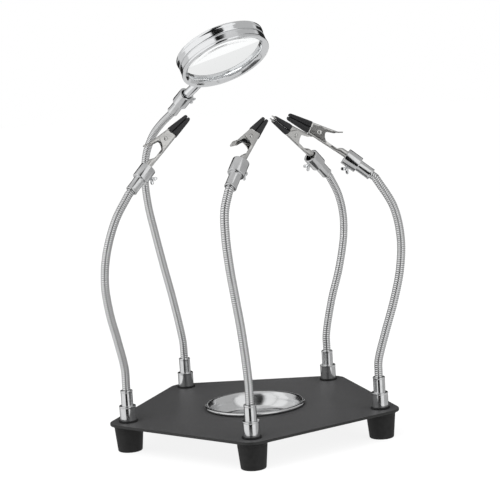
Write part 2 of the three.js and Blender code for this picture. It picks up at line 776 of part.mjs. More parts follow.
/** Adds one arm, from the collar on the plate to the tool in its clamp head. */
function addArm(parent, arm) {
  const base = armBase(arm);
  const plane = aimed(parent, base, arm.heading);
  addPiece(plane, `base_collar_${arm.name}`, collarGeometry(), 'chrome');
  addPiece(plane, `gooseneck_${arm.name}`, neckGeometry(arm), 'gooseneck');

  // The head's +Z runs forward, so its -X is the upper side.
  const [reach, height] = arm.mouth;
  const head = new THREE.Group();
  head.position.set(reach, 0, height);
  head.rotation.y = Math.PI / 2 - rad(arm.rise);
  plane.add(head);
  const thumbAngle = Math.PI + rad(arm.thumb);
  addPiece(head, `clamp_head_${arm.name}`, headGeometry(thumbAngle), 'chrome');

  // The tool leans a little in its bore, pushed against the wall across from the thumb screw.
  const { tool } = arm;
  const radius = tool.kind === 'clip' ? shankRadius : lensShankRadius;
  const axis = direction(arm.heading, arm.rise);
  const lean = Math.tan(axis.angleTo(direction(tool.heading, tool.rise)));
  const slack = headBoreRadius - radius - runGap - (shankInsert / 2) * lean;
  const pushed = Math.max(0, slack);
  const thumbTip = radius - pushed + (thumbRadius + 2) * lean + runGap;
  const thumb = new THREE.Group();
  thumb.position.z = headTotal - thumbFromMouth;
  thumb.rotation.set(0, Math.PI / 2, thumbAngle, 'ZYX');
  head.add(thumb);
  addPiece(thumb, `thumb_screw_${arm.name}`, thumbGeometry(thumbTip), 'chrome');

  const side = new THREE.Vector3(-Math.cos(thumbAngle), -Math.sin(thumbAngle), 0);
  const local = side.multiplyScalar(pushed).setZ(headTotal - shankInsert / 2);
  parent.updateMatrixWorld(true);
  const seat = parent.worldToLocal(head.localToWorld(local));
  const held = aimed(parent, seat, tool.heading, tool.rise, tool.roll);
  if (tool.kind === 'clip') addClip(held, arm.name);
  else addMagnifier(held, arm.name);
}

const stand = new THREE.Group();
stand.name = 'helping_hands';
stand.position.z = -bowlFloorLevel;

addPiece(stand, 'base_plate', plateGeometry(), 'plate');
addPiece(stand, 'parts_bowl', bowlGeometry().translate(0, 0, bowlFloorLevel), 'stainless');
for (const arm of arms) {
  const under = aimed(stand, armBase(arm).setZ(0), arm.at);
  addPiece(under, `foot_${arm.name}`, footGeometry(), 'rubber');
  addPiece(under, `foot_screw_${arm.name}`, footScrewGeometry(), 'zinc');
  addArm(stand, arm);
}

export default stand;
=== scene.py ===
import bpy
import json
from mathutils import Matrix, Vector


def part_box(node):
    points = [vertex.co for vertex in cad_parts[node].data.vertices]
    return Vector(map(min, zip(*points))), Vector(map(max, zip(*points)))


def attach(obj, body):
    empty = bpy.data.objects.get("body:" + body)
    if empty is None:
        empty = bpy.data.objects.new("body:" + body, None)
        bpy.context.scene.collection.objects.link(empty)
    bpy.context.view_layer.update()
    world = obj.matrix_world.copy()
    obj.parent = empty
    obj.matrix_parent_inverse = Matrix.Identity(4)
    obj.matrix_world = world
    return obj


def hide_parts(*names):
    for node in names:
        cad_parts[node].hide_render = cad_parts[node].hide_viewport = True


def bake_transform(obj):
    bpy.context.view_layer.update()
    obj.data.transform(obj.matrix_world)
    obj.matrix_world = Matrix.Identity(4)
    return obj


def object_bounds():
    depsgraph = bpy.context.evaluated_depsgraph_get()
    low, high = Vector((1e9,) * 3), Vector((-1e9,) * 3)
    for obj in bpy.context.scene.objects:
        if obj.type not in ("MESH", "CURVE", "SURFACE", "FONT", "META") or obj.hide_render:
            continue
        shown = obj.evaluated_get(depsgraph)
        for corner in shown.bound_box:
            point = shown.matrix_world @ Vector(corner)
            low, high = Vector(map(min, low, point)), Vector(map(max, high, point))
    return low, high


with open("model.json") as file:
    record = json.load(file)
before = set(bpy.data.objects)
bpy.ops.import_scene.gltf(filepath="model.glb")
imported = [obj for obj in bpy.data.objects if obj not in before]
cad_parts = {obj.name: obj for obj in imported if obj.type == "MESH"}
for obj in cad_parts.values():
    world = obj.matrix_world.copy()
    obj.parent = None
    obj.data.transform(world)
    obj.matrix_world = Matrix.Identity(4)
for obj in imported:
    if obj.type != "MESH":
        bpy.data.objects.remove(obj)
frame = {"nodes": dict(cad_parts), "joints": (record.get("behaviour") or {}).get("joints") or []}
frame_low, frame_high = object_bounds()
print("frame box in metres:", tuple(frame_low), tuple(frame_high))

# %% [markdown]
# ## Working in local millimetres
# Each piece is easiest to describe in its own frame: a collar about its axis, a jaw about its
# pin. The hinges of the frame give those places, so nothing is measured twice. A place is an
# origin with three directions, and the last step of every piece carries its points there.
# %% Places taken from the hinges
import json

import bmesh
import bpy
import numpy as np
from mathutils import Matrix

MM = 0.001  # metres in a millimetre
FULL_TURN = 2 * np.pi
UP = np.array([0.0, 0.0, 1.0])
ARMS = ("front", "right", "rear", "lens", "left")
CLIP_ARMS = ("front", "right", "rear", "left")
JOINTS = {joint["name"]: joint for joint in frame["joints"]}


def unit(vector):
    """The vector divided by its length."""
    return np.asarray(vector, float) / np.linalg.norm(vector)


def hinge(name):
    """A hinge's point in millimetres and its direction."""
    return np.array(JOINTS[name]["pos_m"]) / MM, unit(JOINTS[name]["axis"])


def place(origin, z, x):
    """An origin with rows of local X, Y and Z: Y is Z cross X, and X is cut square to Z."""
    z = unit(z)
    x = unit(x - (x @ z) * z)
    return np.asarray(origin, float), np.array([x, np.cross(z, x), z])


def vertices(node):
    """The corners of a CAD part, in millimetres."""
    mesh = frame["nodes"][node].data
    flat = np.empty(3 * len(mesh.vertices), np.float32)
    mesh.vertices.foreach_get("co", flat)
    return flat.reshape(-1, 3).astype(float) / MM


def extent(node, where, axis):
    """How far a CAD part reaches along one local axis of a place: lowest and highest."""
    origin, axes = where
    along = (vertices(node) - origin) @ axes[axis]
    return along.min(), along.max()


plate_low, plate_top = (corner.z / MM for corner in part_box("base_plate"))
floor_level = frame_low.z / MM
print(f"plate from {plate_low:.1f} to {plate_top:.1f} mm, feet down to {floor_level:.1f} mm")

# %% [markdown]
# ## From a grid of points to a mesh
# Every surface here is a grid: one index runs along a profile or a path, the other runs round
# and closes on itself. A whole row that shrinks to one point becomes a pole, and a profile that
# ends where it began becomes a ring. Merging doubled points seals both. The alternative, adding
# ready-made cylinders and cutting them, gives seams that catch the light.
# %% Grid to mesh


def new_object(name, data):
    """An object that holds the data, linked into the scene."""
    thing = bpy.data.objects.new(name, data)
    bpy.context.scene.collection.objects.link(thing)
    return thing


def skin(name, shells, where, sharp=38.0, marks=None):
    """A mesh object from closed grids of local points shaped (rows, columns, 3).

    Point (i, j) joins (i, j+1), (i+1, j+1) and (i+1, j) in one face, and columns wrap round.
    World point = origin + x times local X + y times local Y + z times local Z. Edges whose
    faces meet at more than the sharp angle, in degrees, stay crisp. marks is one number for
    each point, stored as an attribute for the finish to read.
    """
    origin, axes = where
    points, faces, start = [], [], 0
    for grid in shells:
        rows, columns = grid.shape[:2]
        i, j = np.arange(rows - 1)[:, None], np.arange(columns)[None, :]
        a, b = i * columns + j, i * columns + (j + 1) % columns
        faces.append(np.stack([a, b, b + columns, a + columns], -1).reshape(-1, 4) + start)
        points.append(grid.reshape(-1, 3) @ axes + origin)
        start += rows * columns
    mesh = bpy.data.meshes.new(name)
    mesh.from_pydata((np.concatenate(points) * MM).tolist(), [], np.concatenate(faces).tolist())
    if marks is not None:
        layer = mesh.attributes.new("mark", "FLOAT", "POINT")
        layer.data.foreach_set("value", marks.astype(np.float32).ravel())
    return seal(name, mesh, sharp)


def seal(name, mesh, sharp):
    """Merges doubled points, turns faces outwards, smooths all but the sharp edges."""
    work = bmesh.new()
    work.from_mesh(mesh)
    bmesh.ops.remove_doubles(work, verts=work.verts, dist=1e-6)
    bmesh.ops.recalc_face_normals(work, faces=work.faces)
    work.to_mesh(mesh)
    work.free()
    mesh.shade_smooth()
    mesh.set_sharp_from_angle(angle=np.radians(sharp))
    return new_object(name, mesh)


def dress(piece, finish, body=None, stands_for=()):
    """Gives a piece its finish, its body and the CAD parts that it stands for."""
    piece.data.materials.clear()
    piece.data.materials.append(finish)
    if body:
        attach(piece, body)
    if stands_for:
        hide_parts(*stands_for)
    return piece


# %% Profiles that are turned


def rounded(corners, cut=0.4, steps=4, ring=False):
    """A line of corners with each corner replaced by a short curve.

    The curve starts and ends one cut away from the corner, at most 0.45 of either side, and is
    the quadratic (1-s)^2 A + 2s(1-s) corner + s^2 B. A ring closes on its first point.
    """
    corners = np.array(corners, float)

    def toward(neighbour):
        step = neighbour - corners
        length = np.maximum(np.linalg.norm(step, axis=1, keepdims=True), 1e-9)
        return corners + step / length * np.minimum(cut, 0.45 * length)

    s = np.linspace(0, 1, steps + 1)[None, :, None]
    a = toward(np.roll(corners, 1, 0))[:, None]
    b = toward(np.roll(corners, -1, 0))[:, None]
    curves = (1 - s) ** 2 * a + 2 * s * (1 - s) * corners[:, None] + s**2 * b
    if ring:
        line = curves.reshape(-1, 2)
        return np.vstack([line, line[:1]])
    return np.vstack([corners[:1], curves[1:-1].reshape(-1, 2), corners[-1:]])


def turned(profile, sides=72):
    """A profile of [radius, height] swept round Z: x = r cos t, y = r sin t."""
    t = np.linspace(0, FULL_TURN, sides, endpoint=False)
    r, z = profile[:, :1], profile[:, 1:]
    return np.stack([r * np.cos(t), r * np.sin(t), z + 0 * t], -1)


def tube(path, radius, sides, across):
    """A wire along a path, with round ends: a ring about each point, square to the path.

    The ring is spanned by two directions: tangent cross the fixed direction across, and its
    own cross product with the tangent. The first and last rings shrink to a point.
    """
    tangent = np.gradient(path, axis=0)
    tangent /= np.linalg.norm(tangent, axis=1, keepdims=True)
    first = np.cross(tangent, across)
    first /= np.linalg.norm(first, axis=1, keepdims=True)
    second = np.cross(tangent, first)
    t = np.linspace(0, FULL_TURN, sides, endpoint=False)[:, None]
    ring = first[:, None] * np.cos(t) + second[:, None] * np.sin(t)
    body = path[:, None] + radius * ring
    ends = [path[k][None, None] + 0 * body[:1] for k in (0, -1)]
    return np.concatenate([ends[0], body, ends[1]])


# %% [markdown]
# ## Finishes
# All finishes share one shader, the Principled BSDF, and differ in how light meets them. Bare
# metal has full metallic and a little roughness that wanders, because handling and polishing
# are never even. Rubber and vinyl are rough with a fine grain in the surface. The patterns are
# noise in object coordinates, which are metres, so a scale of 1000 gives marks of a millimetre.
# %% Helpers for finishes


def shader(name, colour, metallic, roughness, **sockets):
    """A Principled material. Names of further sockets are written with _ for each space."""
    material = bpy.data.materials.new(name)
    material.use_nodes = True
    principled = material.node_tree.nodes["Principled BSDF"]
    principled.inputs["Base Color"].default_value = (*colour, 1.0)
    principled.inputs["Metallic"].default_value = metallic
    principled.inputs["Roughness"].default_value = roughness
    for socket, value in sockets.items():
        principled.inputs[socket.replace("_", " ")].default_value = value
    return material


def noise(material, scale, detail=3.0, stretch=(1, 1, 1), rotation=(0, 0, 0)):
    """Noise in object coordinates, about 0.5 in the middle; stretch scales each axis."""
    tree = material.node_tree
    coordinates = tree.nodes.new("ShaderNodeTexCoord")
    mapping = tree.nodes.new("ShaderNodeMapping")
    mapping.inputs["Scale"].default_value = stretch
    mapping.inputs["Rotation"].default_value = rotation
    texture = tree.nodes.new("ShaderNodeTexNoise")
    texture.inputs["Scale"].default_value = scale
    texture.inputs["Detail"].default_value = detail
    tree.links.new(coordinates.outputs["Object"], mapping.inputs["Vector"])
    tree.links.new(mapping.outputs["Vector"], texture.inputs["Vector"])
    return texture.outputs["Fac"]


def stored_mark(material):
    """The number stored on each point as the attribute mark."""
    attribute = material.node_tree.nodes.new("ShaderNodeAttribute")
    attribute.attribute_name = "mark"
    return attribute.outputs["Fac"]


def vary(material, pattern, socket, low, high, window=(0.3, 0.7)):
    """Maps a pattern's window onto the range low to high of one socket: a colour or a number."""
    tree = material.node_tree
    spread = tree.nodes.new("ShaderNodeMapRange")
    spread.inputs["From Min"].default_value, spread.inputs["From Max"].default_value = window
    tree.links.new(pattern, spread.inputs["Value"])
    target = tree.nodes["Principled BSDF"].inputs[socket]
    if isinstance(low, tuple):
        mix = tree.nodes.new("ShaderNodeMix")
        mix.data_type = "RGBA"
        mix.inputs["A"].default_value = (*low, 1.0)
        mix.inputs["B"].default_value = (*high, 1.0)
        tree.links.new(spread.outputs["Result"], mix.inputs["Factor"])
        tree.links.new(mix.outputs["Result"], target)
    else:
        spread.inputs["To Min"].default_value = low
        spread.inputs["To Max"].default_value = high
        tree.links.new(spread.outputs["Result"], target)


def grain(material, pattern, height, strength=1.0):
    """Lifts the surface by a pattern, up to a height in millimetres."""
    tree = material.node_tree
    bump = tree.nodes.new("ShaderNodeBump")
    bump.inputs["Distance"].default_value = height * MM
    bump.inputs["Strength"].default_value = strength
    tree.links.new(pattern, bump.inputs["Height"])
    tree.links.new(bump.outputs["Normal"], tree.nodes["Principled BSDF"].inputs["Normal"])


# %% [markdown]
# Chromed steel mirrors its surroundings. A trace of roughness that changes over a few
# millimetres keeps it from looking like liquid.
# %% Chrome
chrome = shader("bright_chrome", (0.83, 0.84, 0.85), 1.0, 0.09)
vary(chrome, noise(chrome, 260, 4), "Roughness", 0.06, 0.16)
grain(chrome, noise(chrome, 900, 2), 0.004, 0.4)

# %% [markdown]
# The collars and clamp heads are the same metal but less polished: the lathe leaves very fine
# rings, which stretch a highlight along the part, and the grey is darker.
# %% Turned steel
turned_steel = shader("turned_steel", (0.6, 0.605, 0.61), 1.0, 0.14)
vary(turned_steel, noise(turned_steel, 350, 4), "Roughness", 0.1, 0.19)
vary(turned_steel, noise(turned_steel, 150, 3), "Base Color", (0.62, 0.625, 0.63), (0.74, 0.745, 0.75))
grain(turned_steel, noise(turned_steel, 1400, 2, stretch=(0.3, 0.3, 2.5)), 0.008, 0.5)

# %% [markdown]
# The neck is wound from steel wire. Its grooves are painted near black, as painted shade, so
# the colour follows the mark stored on each point: about 0.2 in a groove, 1 on a crest.
# %% Wound neck steel
# The groove colour is painted shade; the crest colour is the bare wire's own.
GROOVE_PAINTED_SHADE, BARE_WIRE = (0.015, 0.015, 0.016), (0.84, 0.845, 0.85)

neck_steel = shader("wound_neck_steel", (0.7, 0.71, 0.72), 1.0, 0.2)
# Painted shade: the grooves turn near black, the crests keep the wire's own colour.
vary(neck_steel, stored_mark(neck_steel), "Base Color", GROOVE_PAINTED_SHADE, BARE_WIRE, (0.2, 0.95))
vary(neck_steel, noise(neck_steel, 400), "Roughness", 0.16, 0.28)

# %% [markdown]
# Nickel on stamped sheet is warmer and duller than chrome, with drawing lines along the strip.
# Noise that is stretched along one axis makes such lines.
# %% Nickelled sheet
nickel = shader("nickelled_sheet", (0.66, 0.655, 0.64), 1.0, 0.27)
vary(nickel, noise(nickel, 500, 4, stretch=(0.2, 0.2, 1.6)), "Roughness", 0.2, 0.38)
grain(nickel, noise(nickel, 1500, 3), 0.012, 0.5)

# %% [markdown]
# Springs and screws are zinc plated: grey, a little cloudy.
# %% Zinc
zinc = shader("cloudy_zinc", (0.5, 0.51, 0.52), 1.0, 0.38)
vary(zinc, noise(zinc, 700, 4), "Base Color", (0.42, 0.43, 0.44), (0.58, 0.59, 0.6))
grain(zinc, noise(zinc, 2200, 2), 0.01, 0.5)

# %% [markdown]
# The bowl is spun from stainless sheet. Spinning leaves fine rings about its axis, so the
# pattern is a wave of the distance to the axis, broken up by noise.
# %% Spun stainless
stainless = shader("spun_stainless", (0.74, 0.745, 0.75), 1.0, 0.28)


def spun_rings(material, scale):
    """A wave of the distance from the vertical axis, a little distorted."""
    tree = material.node_tree
    coordinates = tree.nodes.new("ShaderNodeTexCoord")
    wave = tree.nodes.new("ShaderNodeTexWave")
    wave.wave_type = "RINGS"
    wave.rings_direction = "Z"
    wave.inputs["Scale"].default_value = scale
    wave.inputs["Distortion"].default_value = 1.5
    wave.inputs["Detail"].default_value = 2
    tree.links.new(coordinates.outputs["Object"], wave.inputs["Vector"])
    return wave.outputs["Fac"]


grain(stainless, spun_rings(stainless, 900), 0.002, 0.25)
vary(stainless, noise(stainless, 60, 3), "Roughness", 0.17, 0.23)

# %% [markdown]
# The plate is painted with a satin black powder coat. Melted powder leaves a fine orange peel
# and the colour is a dark grey rather than black. The rounded edge is painted darker, as painted
# shade: there the mark stored on each point is 0; on the flat faces the mark is 1.
# %% Powder coat
powder_coat = shader("satin_powder_coat", (0.05, 0.05, 0.051), 0.0, 0.5, Specular_IOR_Level=0.5)
# Painted shade: the edge, marked 0, gets the near-black colour.
vary(powder_coat, stored_mark(powder_coat), "Base Color", (0.01, 0.01, 0.01), (0.05, 0.05, 0.051), (0, 1))
vary(powder_coat, noise(powder_coat, 2600, 2), "Roughness", 0.42, 0.6)
grain(powder_coat, noise(powder_coat, 1700, 3), 0.05, 0.55)

# %% [markdown]
# Moulded rubber swallows most light. Its skin is matte with a slight bloom in patches.
# %% Rubber and vinyl
rubber = shader("moulded_rubber", (0.01, 0.01, 0.01), 0.0, 0.62, Specular_IOR_Level=0.3)
vary(rubber, noise(rubber, 300, 5), "Base Color", (0.007, 0.007, 0.007), (0.012, 0.012, 0.012))
grain(rubber, noise(rubber, 2400, 4), 0.04, 0.6)

vinyl = shader("soft_vinyl", (0.013, 0.013, 0.014), 0.0, 0.46, Specular_IOR_Level=0.4)
vary(vinyl, noise(vinyl, 700, 4), "Roughness", 0.38, 0.56)
grain(vinyl, noise(vinyl, 1800, 4), 0.05, 0.5)

# %% [markdown]
# The lens passes all the light. Its index of refraction is set low, so that the rim seen through
# it stays thin and the glass looks clean.
# %% Glass
glass = shader("clear_glass", (0.97, 0.98, 0.98), 0.0, 0.0, Transmission_Weight=1.0, IOR=1.2)
vary(glass, noise(glass, 60, 2), "Roughness", 0.0, 0.015)
print("finishes:", len(bpy.data.materials))

# %% [markdown]
# ## The plate
# The plate is a flat sheet with five round corners, one about each arm, and a hole for the
# bowl. Drawing it as an extruded outline would leave a hard edge; here the section of the sheet,
# with its rounded edges, is carried round the outline instead. Because every corner is an arc
# about its arm, a smaller corner radius gives the same outline moved inwards.
# %% Plate
CORNER_RADIUS = 13.95
BOWL_HOLE_RADIUS = 35.2
PLATE_EDGE = 0.45  # rounding of the sheet's edge
FACE_MARGIN = 0.02  # a point this close to a face's height lies on the face

arm_points = np.array([hinge(f"{arm}_swivel")[0] for arm in ARMS])
arm_angles = np.arctan2(arm_points[:, 1], arm_points[:, 0])


def plate_outline(radius, per_corner=24, per_side=24):
    """Corner arcs about each arm, joined by straight sides, as points that run once round."""
    half = np.pi / len(ARMS)
    order = np.argsort(arm_angles)
    turn = arm_angles[order][:, None] + np.linspace(-half, half, per_corner)
    arc = arm_points[order][:, None, :2] + radius * np.stack([np.cos(turn), np.sin(turn)], -1)
    share = np.linspace(0, 1, per_side, endpoint=False)[None, 1:, None]
    side = arc[:, -1:] * (1 - share) + np.roll(arc, -1, 0)[:, :1] * share
    return np.concatenate([arc, side], 1).reshape(-1, 2)


def plate_grid():
    """The sheet's section, carried from the hole over the top, round the edge and back below."""
    quarter = np.linspace(0, np.pi / 2, 6)
    rim = [(PLATE_EDGE * (1 - np.sin(q)), plate_top - PLATE_EDGE * (1 - np.cos(q))) for q in quarter]
    inset = rim + [(d, plate_low + plate_top - z) for d, z in rim[::-1]]
    edge = plate_outline(CORNER_RADIUS)
    angle = np.arctan2(edge[:, 1], edge[:, 0])
    circle = np.stack([np.cos(angle), np.sin(angle)], -1)
    rows = [np.column_stack([plate_outline(CORNER_RADIUS - d), 0 * angle + z]) for d, z in inset]
    hole = [np.column_stack([circle * (BOWL_HOLE_RADIUS + d), 0 * angle + z]) for d, z in inset[::-1]]
    return np.array([*rows, *hole, rows[0]])


WORLD = (np.zeros(3), np.eye(3))
sheet = plate_grid()
# 1 on the flat faces, 0 on the rounded edge, which gets the painted shade.
on_face = np.minimum(sheet[..., 2] - plate_low, plate_top - sheet[..., 2]) < FACE_MARGIN
plate = skin("base_plate_sheet", [sheet], WORLD, sharp=50, marks=on_face)
dress(plate, powder_coat, "stand", ["base_plate"])
print("plate faces:", len(plate.data.polygons))

# %% [markdown]
# ## The parts bowl
# The bowl is spun sheet with a thick rolled rim that rests on the plate. It is a turned
# profile: down the outside, under the floor, and up again on the inside. The floor has a low
# ring pressed into it, which stiffens the thin sheet.
# %% Bowl
BOWL_RIM_RADIUS, BOWL_TOP, BOWL_SHEET = 39.0, 15.0, 0.8
BOWL_BODY_RADIUS = 34.6
BOWL_FLOOR_RADIUS = 22.0


def bowl_profile():
    """Outside from the floor's middle to the rolled rim, then inside back to the middle."""
    body, rim, floor = BOWL_BODY_RADIUS, BOWL_RIM_RADIUS, BOWL_FLOOR_RADIUS
    under = BOWL_TOP - 3.0
    outside = rounded([
        (0, -BOWL_SHEET), (floor - 1, -BOWL_SHEET), (body - 3.4, 2.4), (body - 0.7, 7.0), (body, under),
        (rim - 0.9, under), (rim - 0.02, under + 1.3), (rim - 0.35, BOWL_TOP - 0.75),
        (rim - 1.6, BOWL_TOP - 0.02), (rim - 3.0, BOWL_TOP - 0.35), (body + 0.3, BOWL_TOP - 1.7),
    ], cut=2.6, steps=7)
    inside = rounded([
        (body + 0.3, BOWL_TOP - 1.7), (body - 0.9, BOWL_TOP - 3.4), (body - 1.9, 7.2), (body - 4.6, 3.0),
        (floor - 1, 0.02), (14.2, 0.02), (13.2, 0.42), (12.2, 0.42), (11.2, 0.02), (0, 0.02),
    ], cut=2.4, steps=7)
    return np.vstack([outside, inside])


bowl = skin("parts_bowl_spun", [turned(bowl_profile(), 160)], WORLD, sharp=70)
dress(bowl, stainless, "bowl", ["parts_bowl"])
print("bowl faces:", len(bowl.data.polygons))

# %% [markdown]
# ## Feet and their screws
# A foot is a hollow moulded cone: wide where it meets the plate, with a soft lower edge, a
# shallow ring below the top and a recess for the screw. The screw has a hexagonal socket. A
# hexagon is a circle whose radius changes with the angle: half the key width divided by the
# cosine of the angle to the nearest flat.
# %% Feet
FOOT_HEIGHT, FOOT_TOP, FOOT_BOTTOM = 20.0, 11.3, 9.2
RECESS_RADIUS, RECESS_DEPTH = 4.7, 9.0
SCREW_RADIUS, SCREW_HOLE = 2.0, 2.3
COLLAR_GAP = 0.2  # between the plate and a collar
SCREW_REACH = 7.5  # above the collar's lower face
SCREW_HOLE_TOP = 9.2  # above the plate
SCREW_SIDES = 72


def foot_profile():
    """A ring profile: outer cone from the floor up, top face, screw hole, recess."""
    groove = FOOT_HEIGHT - 2.8
    wall = [(FOOT_BOTTOM, 0.0), (FOOT_TOP - 0.42, groove), (FOOT_TOP - 0.5, groove + 0.7)]
    top = [(FOOT_TOP - 0.18, groove + 1.0), (FOOT_TOP - 0.03, groove + 1.7), (FOOT_TOP - 0.03, FOOT_HEIGHT),
           (SCREW_HOLE, FOOT_HEIGHT)]
    recess = [(SCREW_HOLE, RECESS_DEPTH), (RECESS_RADIUS, RECESS_DEPTH), (RECESS_RADIUS, 0.0)]
    return rounded(wall + top + recess, cut=0.9, steps=5, ring=True)


def socket_screw():
    """A turned screw; the two rows inside the head's socket are hexagons."""
    head_low, head_top = RECESS_DEPTH - 2.6, RECESS_DEPTH - 0.2
    end = plate_top - floor_level + COLLAR_GAP + SCREW_REACH
    body = rounded([
        (1.5, head_low), (3.6, head_low), (4.0, head_low + 0.6), (4.0, head_top), (SCREW_RADIUS, head_top),
        (SCREW_RADIUS, end), (0, end),
    ], cut=0.3, steps=3)
    deep = np.array([(0, head_low + 1.5), (1.3, head_low + 1.5), (1.3, head_low + 0.1)])
    grid = turned(np.vstack([deep, body]), SCREW_SIDES)
    angle = np.linspace(0, FULL_TURN, SCREW_SIDES, endpoint=False)
    flat = 1 / np.cos((angle + np.pi / 6) % (np.pi / 3) - np.pi / 6)
    grid[:3, :, :2] *= flat[None, :, None]
    return grid


for arm, point in zip(ARMS, arm_points):
    under = place([point[0], point[1], floor_level], UP, unit([point[0], point[1], 0]))
    foot = skin(f"rubber_foot_{arm}", [turned(foot_profile(), 96)], under, sharp=60)
    dress(foot, rubber, "stand", [f"foot_{arm}"])
    screw = skin(f"socket_screw_{arm}", [socket_screw()], under, sharp=30)
    dress(screw, zinc, "stand", [f"foot_screw_{arm}"])
print("feet:", len(ARMS))

# %% [markdown]
# ## Collars
# Each arm stands in a turned and chromed collar on a thin black washer. Real turned parts have
# small rounded edges, and those bright lines say more about the metal than its flat sides do.
# The narrow part above is the ferrule that grips the neck, so its top is bored.
# %% Collars and washers
WASHER_RADIUS, WASHER_TOP = 7.25, 1.0
COLLAR_RADIUS, COLLAR_HEIGHT = 6.35, 12.5
FERRULE_RADIUS, FERRULE_LENGTH = 4.6, 11.7
FERRULE_TOP = COLLAR_HEIGHT + FERRULE_LENGTH
LIP_PROUD = 0.15  # of the lips and steps turned on collars and heads
NECK_RADIUS = 3.25
NECK_BORE, BORE_DEPTH = 3.45, 5.0


def collar_profile():
    """Blind screw hole below, barrel, step, ferrule with a lip, bore for the neck."""
    return rounded([
        (0, SCREW_HOLE_TOP), (SCREW_HOLE, SCREW_HOLE_TOP), (SCREW_HOLE, WASHER_TOP),
        (COLLAR_RADIUS - LIP_PROUD, WASHER_TOP), (COLLAR_RADIUS - LIP_PROUD, COLLAR_HEIGHT - 1.3),
        (COLLAR_RADIUS, COLLAR_HEIGHT - 1.0), (COLLAR_RADIUS, COLLAR_HEIGHT),
        (FERRULE_RADIUS - LIP_PROUD, COLLAR_HEIGHT), (FERRULE_RADIUS - LIP_PROUD, FERRULE_TOP - 1.5),
        (FERRULE_RADIUS, FERRULE_TOP - 1.2),
        (FERRULE_RADIUS, FERRULE_TOP), (NECK_BORE, FERRULE_TOP),
        (NECK_BORE, FERRULE_TOP - BORE_DEPTH), (0, FERRULE_TOP - BORE_DEPTH),
    ], cut=0.42, steps=5)


def washer_profile():
    """A flat ring between the plate and the collar."""
    low, high = 0.22, WASHER_TOP - 0.02
    return rounded([(SCREW_HOLE, low), (WASHER_RADIUS, low), (WASHER_RADIUS, high), (SCREW_HOLE, high)],
                   cut=0.25, steps=3, ring=True)


def arm_plane(arm):
    """The upright plane an arm bends in: X is the way it leans, Z is up, origin on the plate."""
    base, _ = hinge(f"{arm}_swivel")
    _, across = hinge(f"{arm}_lower_bend")
    return place([base[0], base[1], plate_top], UP, np.cross(UP, across))


for arm in ARMS:
    where = arm_plane(arm)
    collar = skin(f"chromed_collar_{arm}", [turned(collar_profile(), 96)], where, sharp=50)
    dress(collar, turned_steel, f"{arm}_collar", [f"base_collar_{arm}"])
    washer = skin(f"black_washer_{arm}", [turned(washer_profile(), 96)], where, sharp=50)
    dress(washer, rubber, f"{arm}_collar")
print("collars, each with a washer:", len(ARMS))

# %% [markdown]
# ## Clamp heads and thumb screws
# The head is the collar's twin at the far end: a ferrule on the neck and a wider barrel, bored
# for the tool. A small winged screw in its side holds the tool. Each wing is a flattened
# rounded lobe, a squashed ball whose outline is squared a little by raising sine and cosine to
# a power below one.
# %% Clamp heads
HEAD_FERRULE_RADIUS, HEAD_FERRULE_LENGTH = 4.45, 11.7
HEAD_RADIUS, HEAD_LENGTH = 6.2, 11.8
HEAD_TOTAL = HEAD_FERRULE_LENGTH + HEAD_LENGTH
TOOL_BORE_RADIUS, TOOL_BORE_DEPTH = 4.4, 10.0
NECK_GAP = 0.3
PIVOT_TO_MOUTH = NECK_GAP + NECK_RADIUS  # from the upper bend's hinge to the ferrule's open end


def head_place(arm):
    """The head's frame: Z runs out along the tool, origin at the ferrule's open end."""
    pivot, across = hinge(f"{arm}_upper_bend")
    _, screw = hinge(f"{arm}_thumb_turn")
    forward = unit(np.cross(across, screw))
    return place(pivot + PIVOT_TO_MOUTH * forward, forward, across)


def head_profile():
    """Neck bore, ferrule with a lip, step, barrel, open mouth and the tool's bore."""
    bore = HEAD_TOTAL - TOOL_BORE_DEPTH
    return rounded([
        (0, BORE_DEPTH), (NECK_BORE, BORE_DEPTH), (NECK_BORE, 0), (HEAD_FERRULE_RADIUS, 0),
        (HEAD_FERRULE_RADIUS, 1.2), (HEAD_FERRULE_RADIUS - LIP_PROUD, 1.5),
        (HEAD_FERRULE_RADIUS - LIP_PROUD, HEAD_FERRULE_LENGTH), (HEAD_RADIUS, HEAD_FERRULE_LENGTH),
        (HEAD_RADIUS, HEAD_TOTAL), (TOOL_BORE_RADIUS, HEAD_TOTAL), (TOOL_BORE_RADIUS, bore), (0, bore),
    ], cut=0.5, steps=5)


for arm in ARMS:
    head = skin(f"chromed_head_{arm}", [turned(head_profile(), 96)], head_place(arm), sharp=50)
    dress(head, turned_steel, f"{arm}_head", [f"clamp_head_{arm}"])
print("clamp heads:", len(ARMS))

# %% Thumb screws
THUMB_RADIUS = 1.4
HUB_LOW, HUB_TOP = HEAD_RADIUS + 0.6, HEAD_RADIUS + 2.4
WING_REACH, WING_LENGTH, WING_WIDTH, WING_THICKNESS = 2.0, 1.75, 1.35, 0.62
WING_LEAN = 1.013225  # radians from the screw's axis
WING_SQUARENESS = 0.8  # 1 gives an ellipse
THREAD_PITCH, THREAD_DEPTH = 0.5, 0.16


def power(value, exponent):
    """The value's sign times its size raised to a power."""
    return np.sign(value) * np.abs(value) ** exponent


def wing(side):
    """A squashed ball: length along the lean, width across it, thin front to back."""
    a = np.linspace(-np.pi / 2, np.pi / 2, 17)[:, None]
    b = np.linspace(0, FULL_TURN, 32, endpoint=False)[None, :]
    along = WING_LENGTH * power(np.cos(a), WING_SQUARENESS) * np.cos(b)
    across = WING_WIDTH * power(np.cos(a), WING_SQUARENESS) * np.sin(b)
    thick = WING_THICKNESS * power(np.sin(a), 0.6) + 0 * b
    x = side * (WING_REACH + along * np.sin(WING_LEAN) - across * np.cos(WING_LEAN))
    z = HUB_LOW + 2.05 + along * np.cos(WING_LEAN) + across * np.sin(WING_LEAN)
    return np.stack([x, thick, z], -1)


